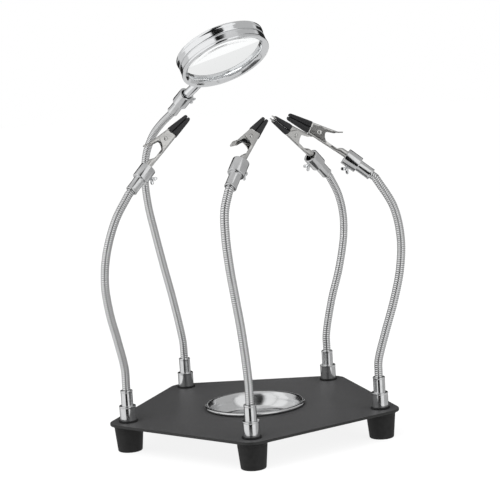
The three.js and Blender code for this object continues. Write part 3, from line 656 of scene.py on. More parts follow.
def thumb_profile(tip):
    """Threaded stem from its tip to the hub, with a domed hub."""
    crests = np.linspace(tip + 0.4, HUB_LOW - 0.2, 2 * int((HUB_LOW - tip) / THREAD_PITCH))
    thread = [(THUMB_RADIUS - THREAD_DEPTH * (k % 2), z) for k, z in enumerate(crests)]
    hub = rounded([(THUMB_RADIUS - 0.2, HUB_LOW), (1.95, HUB_LOW), (1.95, HUB_TOP), (0, HUB_TOP + 0.1)], 0.5)
    return np.vstack([[(0, tip), (THUMB_RADIUS - 0.4, tip)], thread, hub])


for arm in ARMS:
    centre, out = hinge(f"{arm}_thumb_turn")
    where = place(centre, out, -head_place(arm)[1][2])
    tip, _ = extent(f"thumb_screw_{arm}", where, 2)
    shells = [turned(thumb_profile(tip), 40), wing(1), wing(-1)]
    thumb = skin(f"winged_screw_{arm}", shells, where, sharp=50)
    dress(thumb, chrome, f"{arm}_thumb", [f"thumb_screw_{arm}"])
print("thumb screws:", len(ARMS))

# %% [markdown]
# ## The necks
# A bendable neck is two steel wires wound together: a round one that makes the ribs and a
# three-cornered one locked in the grooves. It follows a smooth curve through given points, in the
# upright plane of its arm. The curve is a centripetal Catmull-Rom spline, which passes through
# every point without loops. The ribs climb like a screw thread: the radius at a point depends
# on its distance along the neck minus its turn about the neck.
# Each neck is drawn as two pieces, a lower half and an upper half, which share the point in
# the middle.
# %% Routes
ROUTES = {  # [reach, height] above the plate, between the two ferrules
    "front": [[-0.3, 42], [-5.1, 77], [-10.3, 101], [-15.2, 124], [-18, 147], [-16.9, 164]],
    "right": [[-0.4, 36], [-6.7, 58], [-14.2, 81.6], [-19.8, 105.4], [-21.3, 129], [-17, 152]],
    "rear": [[-0.3, 37], [-8.3, 64.8], [-18.7, 90], [-25.7, 115.7], [-26.4, 134], [-22.2, 151]],
    "lens": [[-0.5, 38], [-9.4, 72], [-18, 98.3], [-26.2, 125], [-33.2, 150.6], [-35, 172.3],
             [-31, 192.4], [-20.8, 208], [-9, 217.6]],
    "left": [[0, 40], [-4.8, 63], [-9.8, 84], [-12.1, 106], [-9, 128], [1.3, 153]],
}


def spline(points, per_span=120):
    """A centripetal Catmull-Rom curve.

    Each span is a cubic from one point to the next. Its end slopes come from the neighbours,
    weighted by the square root of the distances between them.
    """
    p = np.array(points, float)
    p = np.vstack([2 * p[0] - p[1], p, 2 * p[-1] - p[-2]])
    gap = np.sqrt(np.linalg.norm(np.diff(p, axis=0), axis=1))[:, None]
    before, here, after = gap[:-2], gap[1:-1], gap[2:]
    p0, p1, p2, p3 = p[:-3], p[1:-2], p[2:-1], p[3:]
    leave = here * ((p1 - p0) / before - (p2 - p0) / (before + here) + (p2 - p1) / here)
    enter = here * ((p2 - p1) / here - (p3 - p1) / (here + after) + (p3 - p2) / after)
    t = np.linspace(0, 1, per_span, endpoint=False)[None, :, None]
    c2 = (-3 * p1 + 3 * p2 - 2 * leave - enter)[:, None]
    c3 = (2 * p1 - 2 * p2 + leave + enter)[:, None]
    line = p1[:, None] + leave[:, None] * t + c2 * t**2 + c3 * t**3
    return np.vstack([line.reshape(-1, 2), p[-2]])


def neck_line(arm, step):
    """The neck's middle line at even steps, from inside the collar to inside the head."""
    origin, axes = arm_plane(arm)
    mouth, head_axes = head_place(arm)
    pivot, _ = hinge(f"{arm}_upper_bend")
    inside = NECK_BORE + 0.5  # how far the neck enters each ferrule
    last = ((pivot - origin) @ axes[0], (pivot - origin) @ axes[2])
    end = (mouth + inside * head_axes[2] - origin) @ axes.T
    lower = hinge(f"{arm}_lower_bend")[0][2] - plate_top
    curve = spline([[0, lower], *ROUTES[arm], last])
    line = np.vstack([[0, FERRULE_TOP - inside], curve, [end[0], end[2]]])
    length = np.r_[0, np.cumsum(np.linalg.norm(np.diff(line, axis=0), axis=1))]
    at = np.arange(0, length[-1], step)
    return at, np.interp(at, length, line[:, 0]), np.interp(at, length, line[:, 1])


# %% Wound necks
RIB_PITCH = 1.55
RIB_DEPTH = 0.5
CREST_RADIUS = NECK_RADIUS - 0.14  # a smooth curve bulges a little past the frame's straight steps
STEPS_PER_RIB = 8
NECK_SIDES = 36
ROUNDNESS = 0.97  # of a rib; at 1 its sides would be upright in the groove
BEND_LENGTH = 55.0  # length of neck at each end


def wound_grid(at, x, z):
    """Rings about the middle line, with a helical rib.

    Phase = distance / pitch - angle / full turn, taken from -1 to 1 across one rib. The rib is
    nearly round: radius = crest radius - depth * (1 - crest), where crest, the mark that the
    finish reads, is the square root of (1 - roundness * phase squared).
    """
    dx, dz = np.gradient(x), np.gradient(z)
    size = np.hypot(dx, dz)
    dx, dz = (dx / size)[:, None], (dz / size)[:, None]
    angle = np.linspace(0, FULL_TURN, NECK_SIDES, endpoint=False)[None, :]
    phase = 2 * ((at[:, None] / RIB_PITCH - angle / FULL_TURN) % 1) - 1
    crest = np.sqrt(1 - ROUNDNESS * phase**2)
    radius = CREST_RADIUS - RIB_DEPTH * (1 - crest)
    side = radius * np.cos(angle)
    grid = np.stack([x[:, None] + side * dz, radius * np.sin(angle), z[:, None] - side * dx], -1)
    middle = np.stack([x, 0 * x, z], -1)[:, None] + 0 * grid
    return np.concatenate([middle[:1], grid, middle[-1:]]), np.concatenate([crest[:1], crest, crest[-1:]])


for arm in ARMS:
    where = arm_plane(arm)
    at, x, z = neck_line(arm, RIB_PITCH / STEPS_PER_RIB)
    middle = len(at) // 2
    bend = int(BEND_LENGTH / (RIB_PITCH / STEPS_PER_RIB))
    halves = {
        "lower": (slice(0, middle + 1), f"{arm}_collar", f"{arm}_neck", 0, bend),
        "upper": (slice(middle, len(at)), f"{arm}_neck", f"{arm}_head", len(at) - 1 - bend, len(at) - 1),
    }
    for half, (span, near, far, start, end) in halves.items():
        grid, crest = wound_grid(at[span], x[span], z[span])
        neck = skin(f"wound_neck_{half}_{arm}", [grid], where, sharp=80, marks=crest)
        dress(neck, neck_steel, None, [f"gooseneck_{arm}"])
        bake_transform(neck)
    print(f"{arm} neck: {at[-1]:.0f} mm long, {len(at) * NECK_SIDES} points")

# %% [markdown]
# ## The spring clips
# A clip is two bent strips of nickelled sheet on a rivet, with a torsion spring between them and
# a soft vinyl boot on each jaw. A strip bent lengthways has the same kind of section all the way:
# a wall, a corner, a floor, a corner, a wall. So one function draws the middle line of that
# section at every station along the jaw, and a second one gives the line its thickness. The
# widths and wall heights change along the jaw, which makes cheeks, neck and thumb pad without
# any joining. Behind the cheeks the lower strip is rolled into the tube that the head grips.
# %% Clip sizes
JAW_LENGTH = 26.0  # pin to the tip
JAW_TIP_HEIGHT = 2.1
JAW_HALF_ANGLE = np.radians(6.6)
SHEET = 0.7
FIXED_HALF, MOVING_HALF, NECK_HALF = 3.6, 2.6, 2.3
NECK_WALL = 2.2
CHEEK_RADIUS = 4.2
FLAP_RADIUS = CHEEK_RADIUS - 1.1
CHEEK_BACK = -7.5
BOOT_LENGTH, BOOT_PROUD, BOOT_WALL, BOOT_GAP = 18.7, 0.5, 0.7, 0.25
BOOT_BACK = JAW_LENGTH - BOOT_LENGTH
BOOT_BACK_HALF, BOOT_TIP_HALF = 3.55, 2.8
BOOT_TAPER = (BOOT_BACK_HALF - BOOT_TIP_HALF) / BOOT_LENGTH
HANDLE_END, PAD_LENGTH, PAD_RISE, PAD_HALF = -12.6, 3.8, 1.3, 3.1
SHANK_RADIUS, SHANK_DROP = 2.6, 2.51
SHANK_END = -33.7
NOSE_END = 23.8
EDGE_DROP = 0.9  # from the plane where the jaws meet down to a wall's edge inside a boot
JAW_HEIGHT = JAW_TIP_HEIGHT + JAW_LENGTH * np.tan(JAW_HALF_ANGLE)  # pin to a jaw's outer face


def meeting(x):
    """Height from a jaw's outer face to the plane where the two jaws meet."""
    return JAW_TIP_HEIGHT + (JAW_LENGTH - x) * np.tan(JAW_HALF_ANGLE)


def glide(x, knots):
    """A smooth step from each knot's value to the next: t squared times (3 - 2t)."""
    knots = np.array(knots, float)
    k = np.clip(np.searchsorted(knots[:, 0], x) - 1, 0, len(knots) - 2)
    t = np.clip((x - knots[k, 0]) / (knots[k + 1, 0] - knots[k, 0]), 0, 1)
    return knots[k, 1] + (knots[k + 1, 1] - knots[k, 1]) * t * t * (3 - 2 * t)


def arc(radius, start, end, count=24):
    """Points of an arc about the pin, from one angle to another in degrees."""
    t = np.radians(np.linspace(start, end, count))
    return list(zip(radius * np.cos(t), radius * np.sin(t)))


def channel(half, edge, floor, corner=0.9):
    """The middle line of a channel's section at each station, as arrays of y and z.

    Down the left wall from its edge, a quarter turn, across the floor, and the mirror image up
    the right wall. The corner's radius shrinks with a low wall.
    """
    half, edge, floor = (np.asarray(v, float)[:, None] for v in (half, edge, floor))
    radius = np.minimum(corner, 0.9 * np.maximum(edge - floor, 0.05))
    down, quarter = np.linspace(0, 1, 8)[None], np.linspace(0, np.pi / 2, 6)[None, 1:]
    wall = np.stack(np.broadcast_arrays(-half, edge + (floor + radius - edge) * down))
    turn = np.stack([-half + radius * (1 - np.cos(quarter)), floor + radius * (1 - np.sin(quarter))])
    left = np.concatenate([wall, turn], 2)
    across = np.linspace(0, 1, 9)[None, 1:-1]
    flat = np.stack(np.broadcast_arrays((radius - half) * (1 - 2 * across), floor))
    right = left[:, :, ::-1] * np.array([-1, 1])[:, None, None]
    return np.concatenate([left, flat, right], 2)


def bent_sheet(x, line, thickness=SHEET):
    """A sheet about its middle line: out along the line's normal, round each edge and back.

    The normal is the line's direction turned a quarter. The first and last sections close onto
    the middle line itself.
    """
    y, z = line
    dy, dz = np.gradient(y, axis=1), np.gradient(z, axis=1)
    size = np.maximum(np.hypot(dy, dz), 1e-9)
    step = np.stack([dy, dz]) / size
    out = np.stack([-step[1], step[0]]) * thickness / 2
    first = line[:, :, :1] - step[:, :, :1] * thickness * 0.3
    last = line[:, :, -1:] + step[:, :, -1:] * thickness * 0.3
    loop = np.concatenate([first, line + out, last, (line - out)[:, :, ::-1]], 2)
    closed = np.concatenate([first, line, last, line[:, :, ::-1]], 2)
    loop = np.concatenate([closed[:, :1], loop, closed[:, -1:]], 1)
    stations = np.r_[x[0], x, x[-1]][:, None] + 0 * loop[0]
    return np.stack([stations, loop[0], loop[1]], -1)


def pierce(piece, shells, where, sharp=38.0):
    """Cuts closed shapes out of a piece and keeps the result as its mesh."""
    cutter = skin("cutter", shells, where)
    hole = piece.modifiers.new("holes", "BOOLEAN")
    hole.object, hole.operation, hole.solver = cutter, "DIFFERENCE", "EXACT"
    bpy.context.view_layer.update()
    shaped = bpy.data.meshes.new_from_object(piece.evaluated_get(bpy.context.evaluated_depsgraph_get()))
    piece.modifiers.clear()
    piece.data = shaped
    shaped.shade_smooth()
    shaped.set_sharp_from_angle(angle=np.radians(sharp))
    bpy.data.objects.remove(cutter)
    return piece


# %% Jaw strips
JAW_STEP = 0.25


def covered_floor(x):
    """The strip's floor below the pin. It steps in by the boot's wall and gap, less how proud
    the boot stands, where the boot covers it."""
    step_in = BOOT_WALL + BOOT_GAP - BOOT_PROUD
    return -JAW_HEIGHT + glide(x, [(BOOT_BACK - 0.9, 0), (BOOT_BACK + 0.3, step_in)])


def covered_half(x, half):
    """The strip's half width: its own behind the boot, and the boot's cavity inside it."""
    inside = BOOT_TIP_HALF + (JAW_LENGTH - x) * BOOT_TAPER - BOOT_WALL - BOOT_GAP
    share = glide(x, [(BOOT_BACK - 0.9, 0), (BOOT_BACK + 0.3, 1)])
    return half + (inside - half) * share


def covered_edge(x):
    """The wall's edge inside the boot, just short of the plane where the jaws meet."""
    return meeting(x) - JAW_HEIGHT - EDGE_DROP


def fixed_strip(nose):
    """Cheeks, neck and rolled shank. The section glides from a channel to an open circle."""
    x = np.arange(SHANK_END, nose, JAW_STEP)
    low = -JAW_HEIGHT + NECK_WALL
    outline = np.array([
        (SHANK_END, low), (CHEEK_BACK, low), (CHEEK_BACK + 0.7, low + 0.5), (-5.3, -1.0), (-4.4, 0.3),
        *arc(CHEEK_RADIUS, 152, 32), (BOOT_BACK - 0.4, meeting(BOOT_BACK) - JAW_HEIGHT - 0.35),
        (BOOT_BACK + 0.4, covered_edge(BOOT_BACK + 0.4)), (JAW_LENGTH, covered_edge(JAW_LENGTH)),
    ])
    body = glide(x, [(-13.0, NECK_HALF), (CHEEK_BACK, FIXED_HALF)]) - SHEET / 2
    edge = np.interp(x, outline[:, 0], outline[:, 1])
    line = channel(covered_half(x, body), edge, covered_floor(x) + SHEET / 2)
    turn = np.radians(np.linspace(104, 436, line.shape[2]))
    rolled = SHANK_RADIUS - SHEET / 2
    circle = np.stack([rolled * np.cos(turn), rolled * np.sin(turn) - SHANK_DROP])[:, None]
    share = glide(x, [(-21.6, 1), (-16.0, 0)])[None, :, None]
    return bent_sheet(x, line * (1 - share) + circle * share)


def moving_strip(nose):
    """Jaw, flaps round the pin, long handle and a turned-up pad with a round end. It is drawn
    as a channel and then turned over."""
    end = HANDLE_END - PAD_LENGTH
    tail = end + 1.9 * (1 - np.cos(np.linspace(0, np.pi / 2, 14)))
    x = np.r_[tail[:-1], np.arange(tail[-1], nose, JAW_STEP)]
    outline = np.array([
        (end, 0.0), (HANDLE_END, 0.25), (HANDLE_END + 2, 1.6), (-5.0, 2.6), (-3.3, JAW_HEIGHT + 0.6),
        *[(u, v + JAW_HEIGHT) for u, v in arc(FLAP_RADIUS, 150, 20)],
        (BOOT_BACK - 0.4, meeting(BOOT_BACK) - 0.4), (BOOT_BACK + 0.4, meeting(BOOT_BACK) - EDGE_DROP),
        (JAW_LENGTH, JAW_TIP_HEIGHT - EDGE_DROP),
    ])
    body = glide(x, [(HANDLE_END, PAD_HALF), (HANDLE_END + 4, MOVING_HALF)]) - SHEET / 2
    rounding = np.sqrt(np.clip(1 - np.clip((end + 1.9 - x) / 1.9, 0, 1) ** 2, 0.0004, 1))
    rise = glide(x, [(end, PAD_RISE), (HANDLE_END + 0.6, 0)])
    edge = np.interp(x, outline[:, 0], outline[:, 1]) - JAW_HEIGHT - rise
    floor = covered_floor(x) - rise + SHEET / 2
    line = channel(covered_half(x, body) * rounding, np.maximum(edge, floor + 0.02), floor)
    grid = bent_sheet(x, line)
    return grid * np.array([1, 1, -1])


def pad_holes():
    """Two short rods that cut the pad's holes."""
    rod = turned(np.array([(0, JAW_HEIGHT - 2), (0.7, JAW_HEIGHT - 2), (0.7, JAW_HEIGHT + 3),
                           (0, JAW_HEIGHT + 3)]), 24)
    middle = HANDLE_END - 0.45 * PAD_LENGTH
    return [rod + np.array([middle, side * 1.36, 0]) for side in (-1, 1)]


# %% [markdown]
# ## The boots
# A boot is dipped vinyl: a tapered sleeve with a blunt rounded tip, a rounded back rim and small
# teeth on the side that grips. Its section is a squared ellipse. The surface runs from the tip
# back along the outside, over the rim and forward again inside, so that it has a real wall.
# %% Boot surface
TOOTH_PITCH, TOOTH_DEPTH = 1.25, 0.14
BOOT_NOSE, BOOT_PLAY = 2.2, 0.03  # rounded length at the tip, and gap to the meeting plane


def boot_grid(front, side):
    """Rows of squared ellipses: y = half width times cosine to the power 0.5, z likewise.

    Near the tip both shrink as a quarter circle does. The side that faces the other jaw gets a
    triangle wave along x. side is 1 for the upper boot and -1 for the lower.
    """
    t = np.linspace(0, FULL_TURN, 72, endpoint=False)[None]
    nose = front - BOOT_NOSE * (1 - np.cos(np.linspace(0, np.pi / 2, 12)))
    x = np.r_[nose, np.arange(nose[-1] - 0.2, BOOT_BACK + 0.3, -0.2), BOOT_BACK + 0.25, BOOT_BACK + 0.06]
    inner_x = np.r_[BOOT_BACK, BOOT_BACK + 0.06, BOOT_BACK + 0.3, np.arange(BOOT_BACK + 1, front - 1.9, 1.0)]

    def section(x, shrink, wall, rim):
        grip = JAW_HEIGHT - meeting(x) + BOOT_PLAY + wall * 0.7
        outer = JAW_HEIGHT + BOOT_PROUD - wall
        half = BOOT_TIP_HALF + (JAW_LENGTH - x) * BOOT_TAPER - wall
        middle, tall = (grip + outer) / 2, (outer - grip) / 2
        middle = middle - 0.35 * tall * (1 - shrink)
        crease = 1 - 0.05 * np.exp(-(((np.sin(t) + 0.3) / 0.16) ** 2))
        y = (half * shrink - rim)[:, None] * power(np.cos(t), 0.5) * crease
        z = middle[:, None] + (tall * shrink - rim)[:, None] * power(np.sin(t), 0.5)
        wave = np.abs((x / TOOTH_PITCH + 0.25 * side) % 1 - 0.5)[:, None] * 2
        faces_jaw = np.clip(-2.4 * np.sin(t) - 1.4, 0, 1)
        z = z + TOOTH_DEPTH * wave * faces_jaw * (wall == 0) * shrink[:, None]
        return np.stack([x[:, None] + 0 * z, y, z], -1)

    nearness = ((x - front + BOOT_NOSE) / BOOT_NOSE).clip(0, 1)
    shrink = np.sqrt(np.clip(1 - nearness**2, 0.0, 1)) ** 0.8
    rim = np.where(x < BOOT_BACK + 0.2, 0.2, np.where(x < BOOT_BACK + 0.28, 0.06, 0.0))
    outside = section(x, shrink, 0.0, rim)
    inner_rim = np.r_[-0.3, -0.14, np.zeros(len(inner_x) - 2)]
    inside = section(inner_x, np.ones_like(inner_x), BOOT_WALL, inner_rim)
    pole = inside[-1:].mean(1, keepdims=True) + 0 * inside[:1]
    tip = outside[:1].mean(1, keepdims=True) + 0 * inside[:1]
    return np.concatenate([tip, outside, inside, pole]) * np.array([1, 1, side])


# %% [markdown]
# ## Rivet and spring
# The rivet has two domed heads. The spring is one wire: a leg under the handle, two and a half
# turns round the rivet and a leg on the floor of the lower jaw. It winds up as the clip opens.
# %% Rivet and spring
PIN_RADIUS, RIVET_RADIUS, RIVET_HEIGHT = 1.0, 1.8, 0.64
WIRE_RADIUS, COIL_RADIUS, COIL_HALF, COIL_TURNS = 0.35, 1.9, 1.25, 2.5
LEG_BACK = 7.0


def rivet_profile():
    """Half the rivet's outline with both domed heads, turned about the pin's axis."""
    inner = FIXED_HALF + 0.05
    top = inner + RIVET_HEIGHT
    head = np.array([
        (PIN_RADIUS, inner), (RIVET_RADIUS, inner), (RIVET_RADIUS - 0.12, inner + 0.22), (1.2, inner + 0.45),
        (0.75, top - 0.02), (0.0, top),
    ])
    return np.vstack([(head * np.array([1, -1]))[::-1], head])


def spring_path():
    """A leg, a helix about Y and a second leg; each leg leaves the coil along its tangent."""
    u = np.linspace(1, 0, 30)
    rest = -JAW_HEIGHT + SHEET + 0.5 + WIRE_RADIUS
    low = np.column_stack([-LEG_BACK * u, -COIL_HALF + 0 * u, -COIL_RADIUS + (rest + COIL_RADIUS) * u**2])
    t = np.linspace(0, 1, 180)
    turn = -np.pi / 2 + FULL_TURN * COIL_TURNS * t
    coil = np.column_stack([COIL_RADIUS * np.cos(turn), COIL_HALF * (2 * t - 1), COIL_RADIUS * np.sin(turn)])
    lean, under = 2 * JAW_HALF_ANGLE, JAW_HEIGHT - SHEET - WIRE_RADIUS - 0.3
    x = -LEG_BACK * np.cos(lean) + under * np.sin(lean)
    z = LEG_BACK * np.sin(lean) + under * np.cos(lean)
    v = u[::-1]
    high = np.column_stack([x * v, COIL_HALF + 0 * v, COIL_RADIUS + (z - COIL_RADIUS) * v**2])
    return np.vstack([low[:-1], coil, high[1:]])


# %% Clips in place
BARE_TIPS = {"rear"}  # a boot pushed back so that the metal nose shows


def clip_place(arm):
    """The lower jaw's frame: X along the shank, Y along the pin, Z to the upper jaw."""
    _, forward = hinge(f"{arm}_clip_roll")
    pin, across = hinge(f"{arm}_jaw_open")
    return place(pin, np.cross(forward, -across), forward)


def tilted(where, angle):
    """A place turned about its own Y, towards -Z."""
    origin, (x, y, z) = where
    return origin, np.array([x * np.cos(angle) - z * np.sin(angle), y, z * np.cos(angle) + x * np.sin(angle)])


for arm in CLIP_ARMS:
    lower = clip_place(arm)
    upper = tilted(lower, 2 * JAW_HALF_ANGLE)
    origin, (x, y, z) = lower
    bare = arm in BARE_TIPS
    nose, front = (JAW_LENGTH - 0.2, NOSE_END) if bare else (NOSE_END, JAW_LENGTH)
    fixed = skin(f"clip_lower_strip_{arm}", [fixed_strip(nose)], lower, sharp=45)
    dress(fixed, nickel, f"{arm}_clip", [f"clip_fixed_jaw_{arm}"])
    moving = skin(f"clip_upper_strip_{arm}", [moving_strip(nose)], upper, sharp=45)
    pierce(moving, pad_holes(), upper, sharp=45)
    dress(moving, nickel, f"{arm}_jaw", [f"clip_moving_jaw_{arm}"])
    for name, side, where, body, node in (
        ("lower", -1, lower, "clip", "fixed"), ("upper", 1, upper, "jaw", "moving"),
    ):
        boot = skin(f"vinyl_boot_{name}_{arm}", [boot_grid(front, side)], where, sharp=60)
        dress(boot, vinyl, f"{arm}_{body}", [f"clip_{node}_sleeve_{arm}"])
    rivet = skin(f"rivet_{arm}", [turned(rivet_profile(), 48)], (origin, np.array([z, x, y])), sharp=50)
    dress(rivet, nickel, f"{arm}_clip", [f"clip_pivot_pin_{arm}"])
    path = spring_path()
    spring = skin(f"torsion_spring_{arm}", [tube(path, WIRE_RADIUS, 14, np.array([0, 1.0, 0.02]))], lower)
    dress(spring, zinc, None, [f"clip_spring_{arm}"])
    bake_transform(spring)
print("clips:", len(CLIP_ARMS))

# %% [markdown]
# ## The magnifier
# A lens sits in a turned frame and is held by a ring pressed on top. Both have a proud lip, so
# the side shows two bright bands with a plain wall between. The lens has two gently curved faces
# and is thickest in the middle; since it is real glass to the renderer, both faces matter.
# %% Magnifier profiles
LENS_FRAME_RADIUS, LENS_WALL, LENS_INSET, LENS_LIP = 35.8, 3.2, 0.4, 1.8
LENS_WAIST, LENS_MOUTH = LENS_FRAME_RADIUS - LENS_INSET, LENS_FRAME_RADIUS - LENS_WALL
LENS_SEAT = 4.2  # top of the inner lip above the frame's lower face
FRAME_HEIGHT, RING_HEIGHT = 7.5, 6.2
LENS_EDGE, LENS_BULGE, LENS_PLAY = 3.0, 3.0, 0.3
LENS_SHANK_RADIUS, TENON_RADIUS, TENON_LENGTH = 3.7, 1.5, 2.9


def lens_frame_profile():
    """Lower face, proud lip, waist, top, lens seat and the bevelled inner lip."""
    outer, waist, wall = LENS_FRAME_RADIUS, LENS_WAIST, LENS_MOUTH
    return rounded([
        (wall + 0.6, 0), (outer, 0), (outer, 1.7), (waist, 2.3), (waist, 6.4), (waist - 0.25, 6.7),
        (waist - 0.25, FRAME_HEIGHT), (wall, FRAME_HEIGHT), (wall, LENS_SEAT), (wall - LENS_LIP, LENS_SEAT),
        (wall - LENS_LIP, 2.0),
    ], cut=0.4, steps=5, ring=True)


def lens_ring_profile():
    """The ring on top: inner lip on the lens, waist, proud lip and a bevelled mouth."""
    outer, waist, wall = LENS_FRAME_RADIUS, LENS_WAIST, LENS_MOUTH
    low = FRAME_HEIGHT + 0.06
    top = FRAME_HEIGHT + 0.2 + RING_HEIGHT
    return rounded([
        (wall - LENS_LIP + 0.4, low + 0.5), (wall, low + 0.06), (waist - 0.25, low), (waist, low + 0.35),
        (waist, top - 2.3), (outer, top - 1.7), (outer, top), (wall + 0.8, top),
        (wall - LENS_LIP + 0.4, top - 1.8),
    ], cut=0.4, steps=5, ring=True)


def lens_profile():
    """Two parabolas: height = bulge times (1 - (radius / lens radius) squared), and a thin edge."""
    radius = LENS_MOUTH - LENS_PLAY
    share = np.linspace(0, 1, 40)
    face = LENS_BULGE * (1 - share**2)
    low = LENS_SEAT + LENS_PLAY
    under = np.column_stack([radius * share, low - face])
    over = np.column_stack([radius * share, low + LENS_EDGE + face])[::-1]
    return np.vstack([under, over])


def lens_shank_profile(low, high):
    """Chamfered shank with a narrower tenon that enters the frame."""
    shoulder = high - TENON_LENGTH
    return rounded([
        (0, low), (LENS_SHANK_RADIUS, low), (LENS_SHANK_RADIUS, shoulder), (TENON_RADIUS, shoulder),
        (TENON_RADIUS, high), (0, high),
    ], cut=0.4, steps=4)


# %% Magnifier in place


def lens_place():
    """The lens frame's place: Z is the lens's flattest direction, origin on the lower face."""
    _, along = hinge("lens_roll")
    cloud = vertices("magnifier_glass_lens")
    spread = cloud - cloud.mean(0)
    normal = np.linalg.eigh(spread.T @ spread)[1][:, 0]
    normal = normal - (normal @ along) * along
    normal = normal * np.sign(normal @ (vertices("magnifier_ring_lens").mean(0) - cloud.mean(0)))
    where = place(cloud.mean(0), normal, along)
    middle = [sum(extent("magnifier_ring_lens", where, axis)) / 2 for axis in (0, 1)]
    low, _ = extent("magnifier_frame_lens", where, 2)
    origin, axes = where
    return origin + np.array([*middle, low]) @ axes, axes


lens_at = lens_place()
print("lens frame height as placed:", extent("magnifier_frame_lens", lens_at, 2))
for name, profile, finish, slot, node in (
    ("magnifier_lower_frame", lens_frame_profile(), chrome, "chrome", "magnifier_frame_lens"),
    ("magnifier_upper_ring", lens_ring_profile(), chrome, "chrome", "magnifier_ring_lens"),
    ("magnifier_crown_lens", lens_profile(), glass, "lens", "magnifier_glass_lens"),
):
    part = skin(name, [turned(profile, 192)], lens_at, sharp=50)
    dress(part, finish, "lens_magnifier", [node])

shank_point, shank_axis = hinge("lens_roll")
shank_at = place(shank_point, shank_axis, lens_at[1][2])
shank_low, shank_high = extent("magnifier_shank_lens", shank_at, 2)
shank_grid = turned(lens_shank_profile(shank_low, shank_high), 64)
shank = skin("magnifier_shank_turned", [shank_grid], shank_at, sharp=50)
dress(shank, chrome, "lens_magnifier", ["magnifier_shank_lens"])

# %% [markdown]
# ## Floor and light
# A pale floor runs out to a white surrounding, so there is no horizon. Chrome only looks like
# chrome if it has dark and bright things to mirror, so black, grey and white cards stand round the
# object. The cards are seen by reflections only: they throw no shadow and never hide the stand.
# Each is a strip of an upright drum, given by its first and last bearing.
# %% Floor and surroundings
FLOOR_SIZE = 12.0
FLOOR_GLOW = 0.86  # the floor is lit from below, as on a light table
ROOM_IN_REFLECTIONS, ROOM_THROUGH_GLASS = 0.66, 0.86
WHITE = (1, 1, 1, 1)


def glowing(name, colour, brightness):
    """A dull material that also gives off white light evenly."""
    light = {"Emission_Color": WHITE, "Emission_Strength": brightness}
    return shader(name, colour, 0.0, 1.0, Specular_IOR_Level=0.0, **light)


bpy.ops.mesh.primitive_plane_add(size=FLOOR_SIZE, location=(0, 0, frame_low.z))
floor = bpy.context.active_object
floor.name = "floor"
floor.data.materials.append(glowing("pale_floor", (0.16, 0.16, 0.16), FLOOR_GLOW))
floor.visible_glossy = False  # the metals mirror the room below the bench instead

room = bpy.data.worlds.new("white_room")
room.use_nodes = True
links, nodes = room.node_tree.links, room.node_tree.nodes
rays = nodes.new("ShaderNodeLightPath")
mirrored = nodes.new("ShaderNodeMix")
mirrored.inputs["A"].default_value, mirrored.inputs["B"].default_value = 1.0, ROOM_IN_REFLECTIONS
links.new(rays.outputs["Is Glossy Ray"], mirrored.inputs["Factor"])
seen_through = nodes.new("ShaderNodeMix")
seen_through.inputs["B"].default_value = ROOM_THROUGH_GLASS
links.new(mirrored.outputs["Result"], seen_through.inputs["A"])
links.new(rays.outputs["Is Transmission Ray"], seen_through.inputs["Factor"])
nodes["Background"].inputs["Color"].default_value = WHITE
links.new(seen_through.outputs["Result"], nodes["Background"].inputs["Strength"])
bpy.context.scene.world = room
bpy.context.scene.view_settings.view_transform = "Standard"

# %% Cards
CARD_DISTANCE, CARD_LOW, CARD_HIGH = 1.5, -0.5, 2.6
CARD_COLUMNS = 12
CARDS = {  # first and last bearing in degrees, 0 towards the camera and 90 to the right; brightness
    "white_card_left": (-100, -28, 1.0),
    "black_card_front": (-24, 14, 0.01),
    "white_card_right": (18, 58, 1.0),
    "grey_card_right": (58, 130, 0.5),
    "black_card_back_left": (-178, -135, 0.02),
    "black_card_back_right": (140, 178, 0.02),
}


def card(name, first, last, brightness):
    """A strip of an upright drum about the stand, which glows evenly."""
    a = np.radians(np.linspace(first, last, CARD_COLUMNS))
    edge = np.stack([CARD_DISTANCE * np.sin(a), -CARD_DISTANCE * np.cos(a)], -1)
    low = np.column_stack([edge, 0 * a + CARD_LOW])
    high = np.column_stack([edge, 0 * a + CARD_HIGH])
    i = np.arange(CARD_COLUMNS - 1)
    faces = np.stack([i, i + 1, i + 1 + CARD_COLUMNS, i + CARD_COLUMNS], -1)
    mesh = bpy.data.meshes.new(name)
    mesh.from_pydata(np.vstack([low, high]).tolist(), [], faces.tolist())
    mesh.materials.append(glowing(name, (0, 0, 0), brightness))
    strip = new_object(name, mesh)
    strip.visible_camera = strip.visible_diffuse = strip.visible_shadow = strip.visible_transmission = False


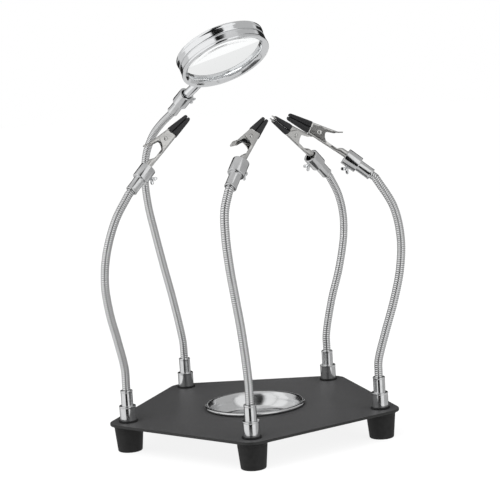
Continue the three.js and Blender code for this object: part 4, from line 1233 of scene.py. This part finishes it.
for name, (first, last, brightness) in CARDS.items():
    card(name, first, last, brightness)
print("cards:", len(CARDS))

# %% Soft lights
LIGHT_AIM = np.array([0, 0, 0.12])


def set_matrix(thing, spot, rows):
    """Places an object whose local X, Y and Z run along three rows."""
    matrix = np.eye(4)
    matrix[:3, :3], matrix[:3, 3] = rows.T, spot
    thing.matrix_world = Matrix(matrix.tolist())


def soft_light(name, azimuth, elevation, distance, size, watts):
    """A square area light that points at the middle of the stand."""
    a, e = np.radians([azimuth, elevation])
    back = np.array([np.sin(a) * np.cos(e), -np.cos(a) * np.cos(e), np.sin(e)])
    lamp = bpy.data.lights.new(name, "AREA")
    lamp.size, lamp.energy = size, watts
    light = new_object(name, lamp)
    spot, rows = place(LIGHT_AIM + distance * back, back, np.array([np.cos(a), np.sin(a), 0.0]))
    set_matrix(light, spot, rows)
    light.visible_camera = light.visible_glossy = False


soft_light("key_light", -38, 52, 1.3, 0.8, 9)
soft_light("fill_light", 65, 35, 1.5, 1.0, 5)

# %% [markdown]
# ## Camera
# A long lens from a little above the bench, as for a catalogue: the far arms are nearly as tall
# as the near ones. The camera is turned a few degrees about its own axis.
# %% Camera
AIM = np.array([0.0034, 0.0, 0.133])
DISTANCE, FOCAL_LENGTH = 1.184, 111.64
AZIMUTH, ELEVATION, ROLL = np.radians([1.92, 7.35, -3.49])

towards = np.array([
    np.sin(AZIMUTH) * np.cos(ELEVATION), -np.cos(AZIMUTH) * np.cos(ELEVATION), np.sin(ELEVATION),
])
level = np.array([np.cos(AZIMUTH), np.sin(AZIMUTH), 0.0])
right = level * np.cos(ROLL) + np.cross(towards, level) * np.sin(ROLL)
lens_data = bpy.data.cameras.new("camera")
lens_data.lens, lens_data.sensor_width = FOCAL_LENGTH, 36.0
lens_data.clip_start = 0.05
camera = new_object("camera", lens_data)
set_matrix(camera, AIM + DISTANCE * towards, np.array([right, np.cross(towards, right), towards]))
bpy.context.scene.camera = camera
print(f"camera: {FOCAL_LENGTH} mm lens, {DISTANCE} m from its aim")
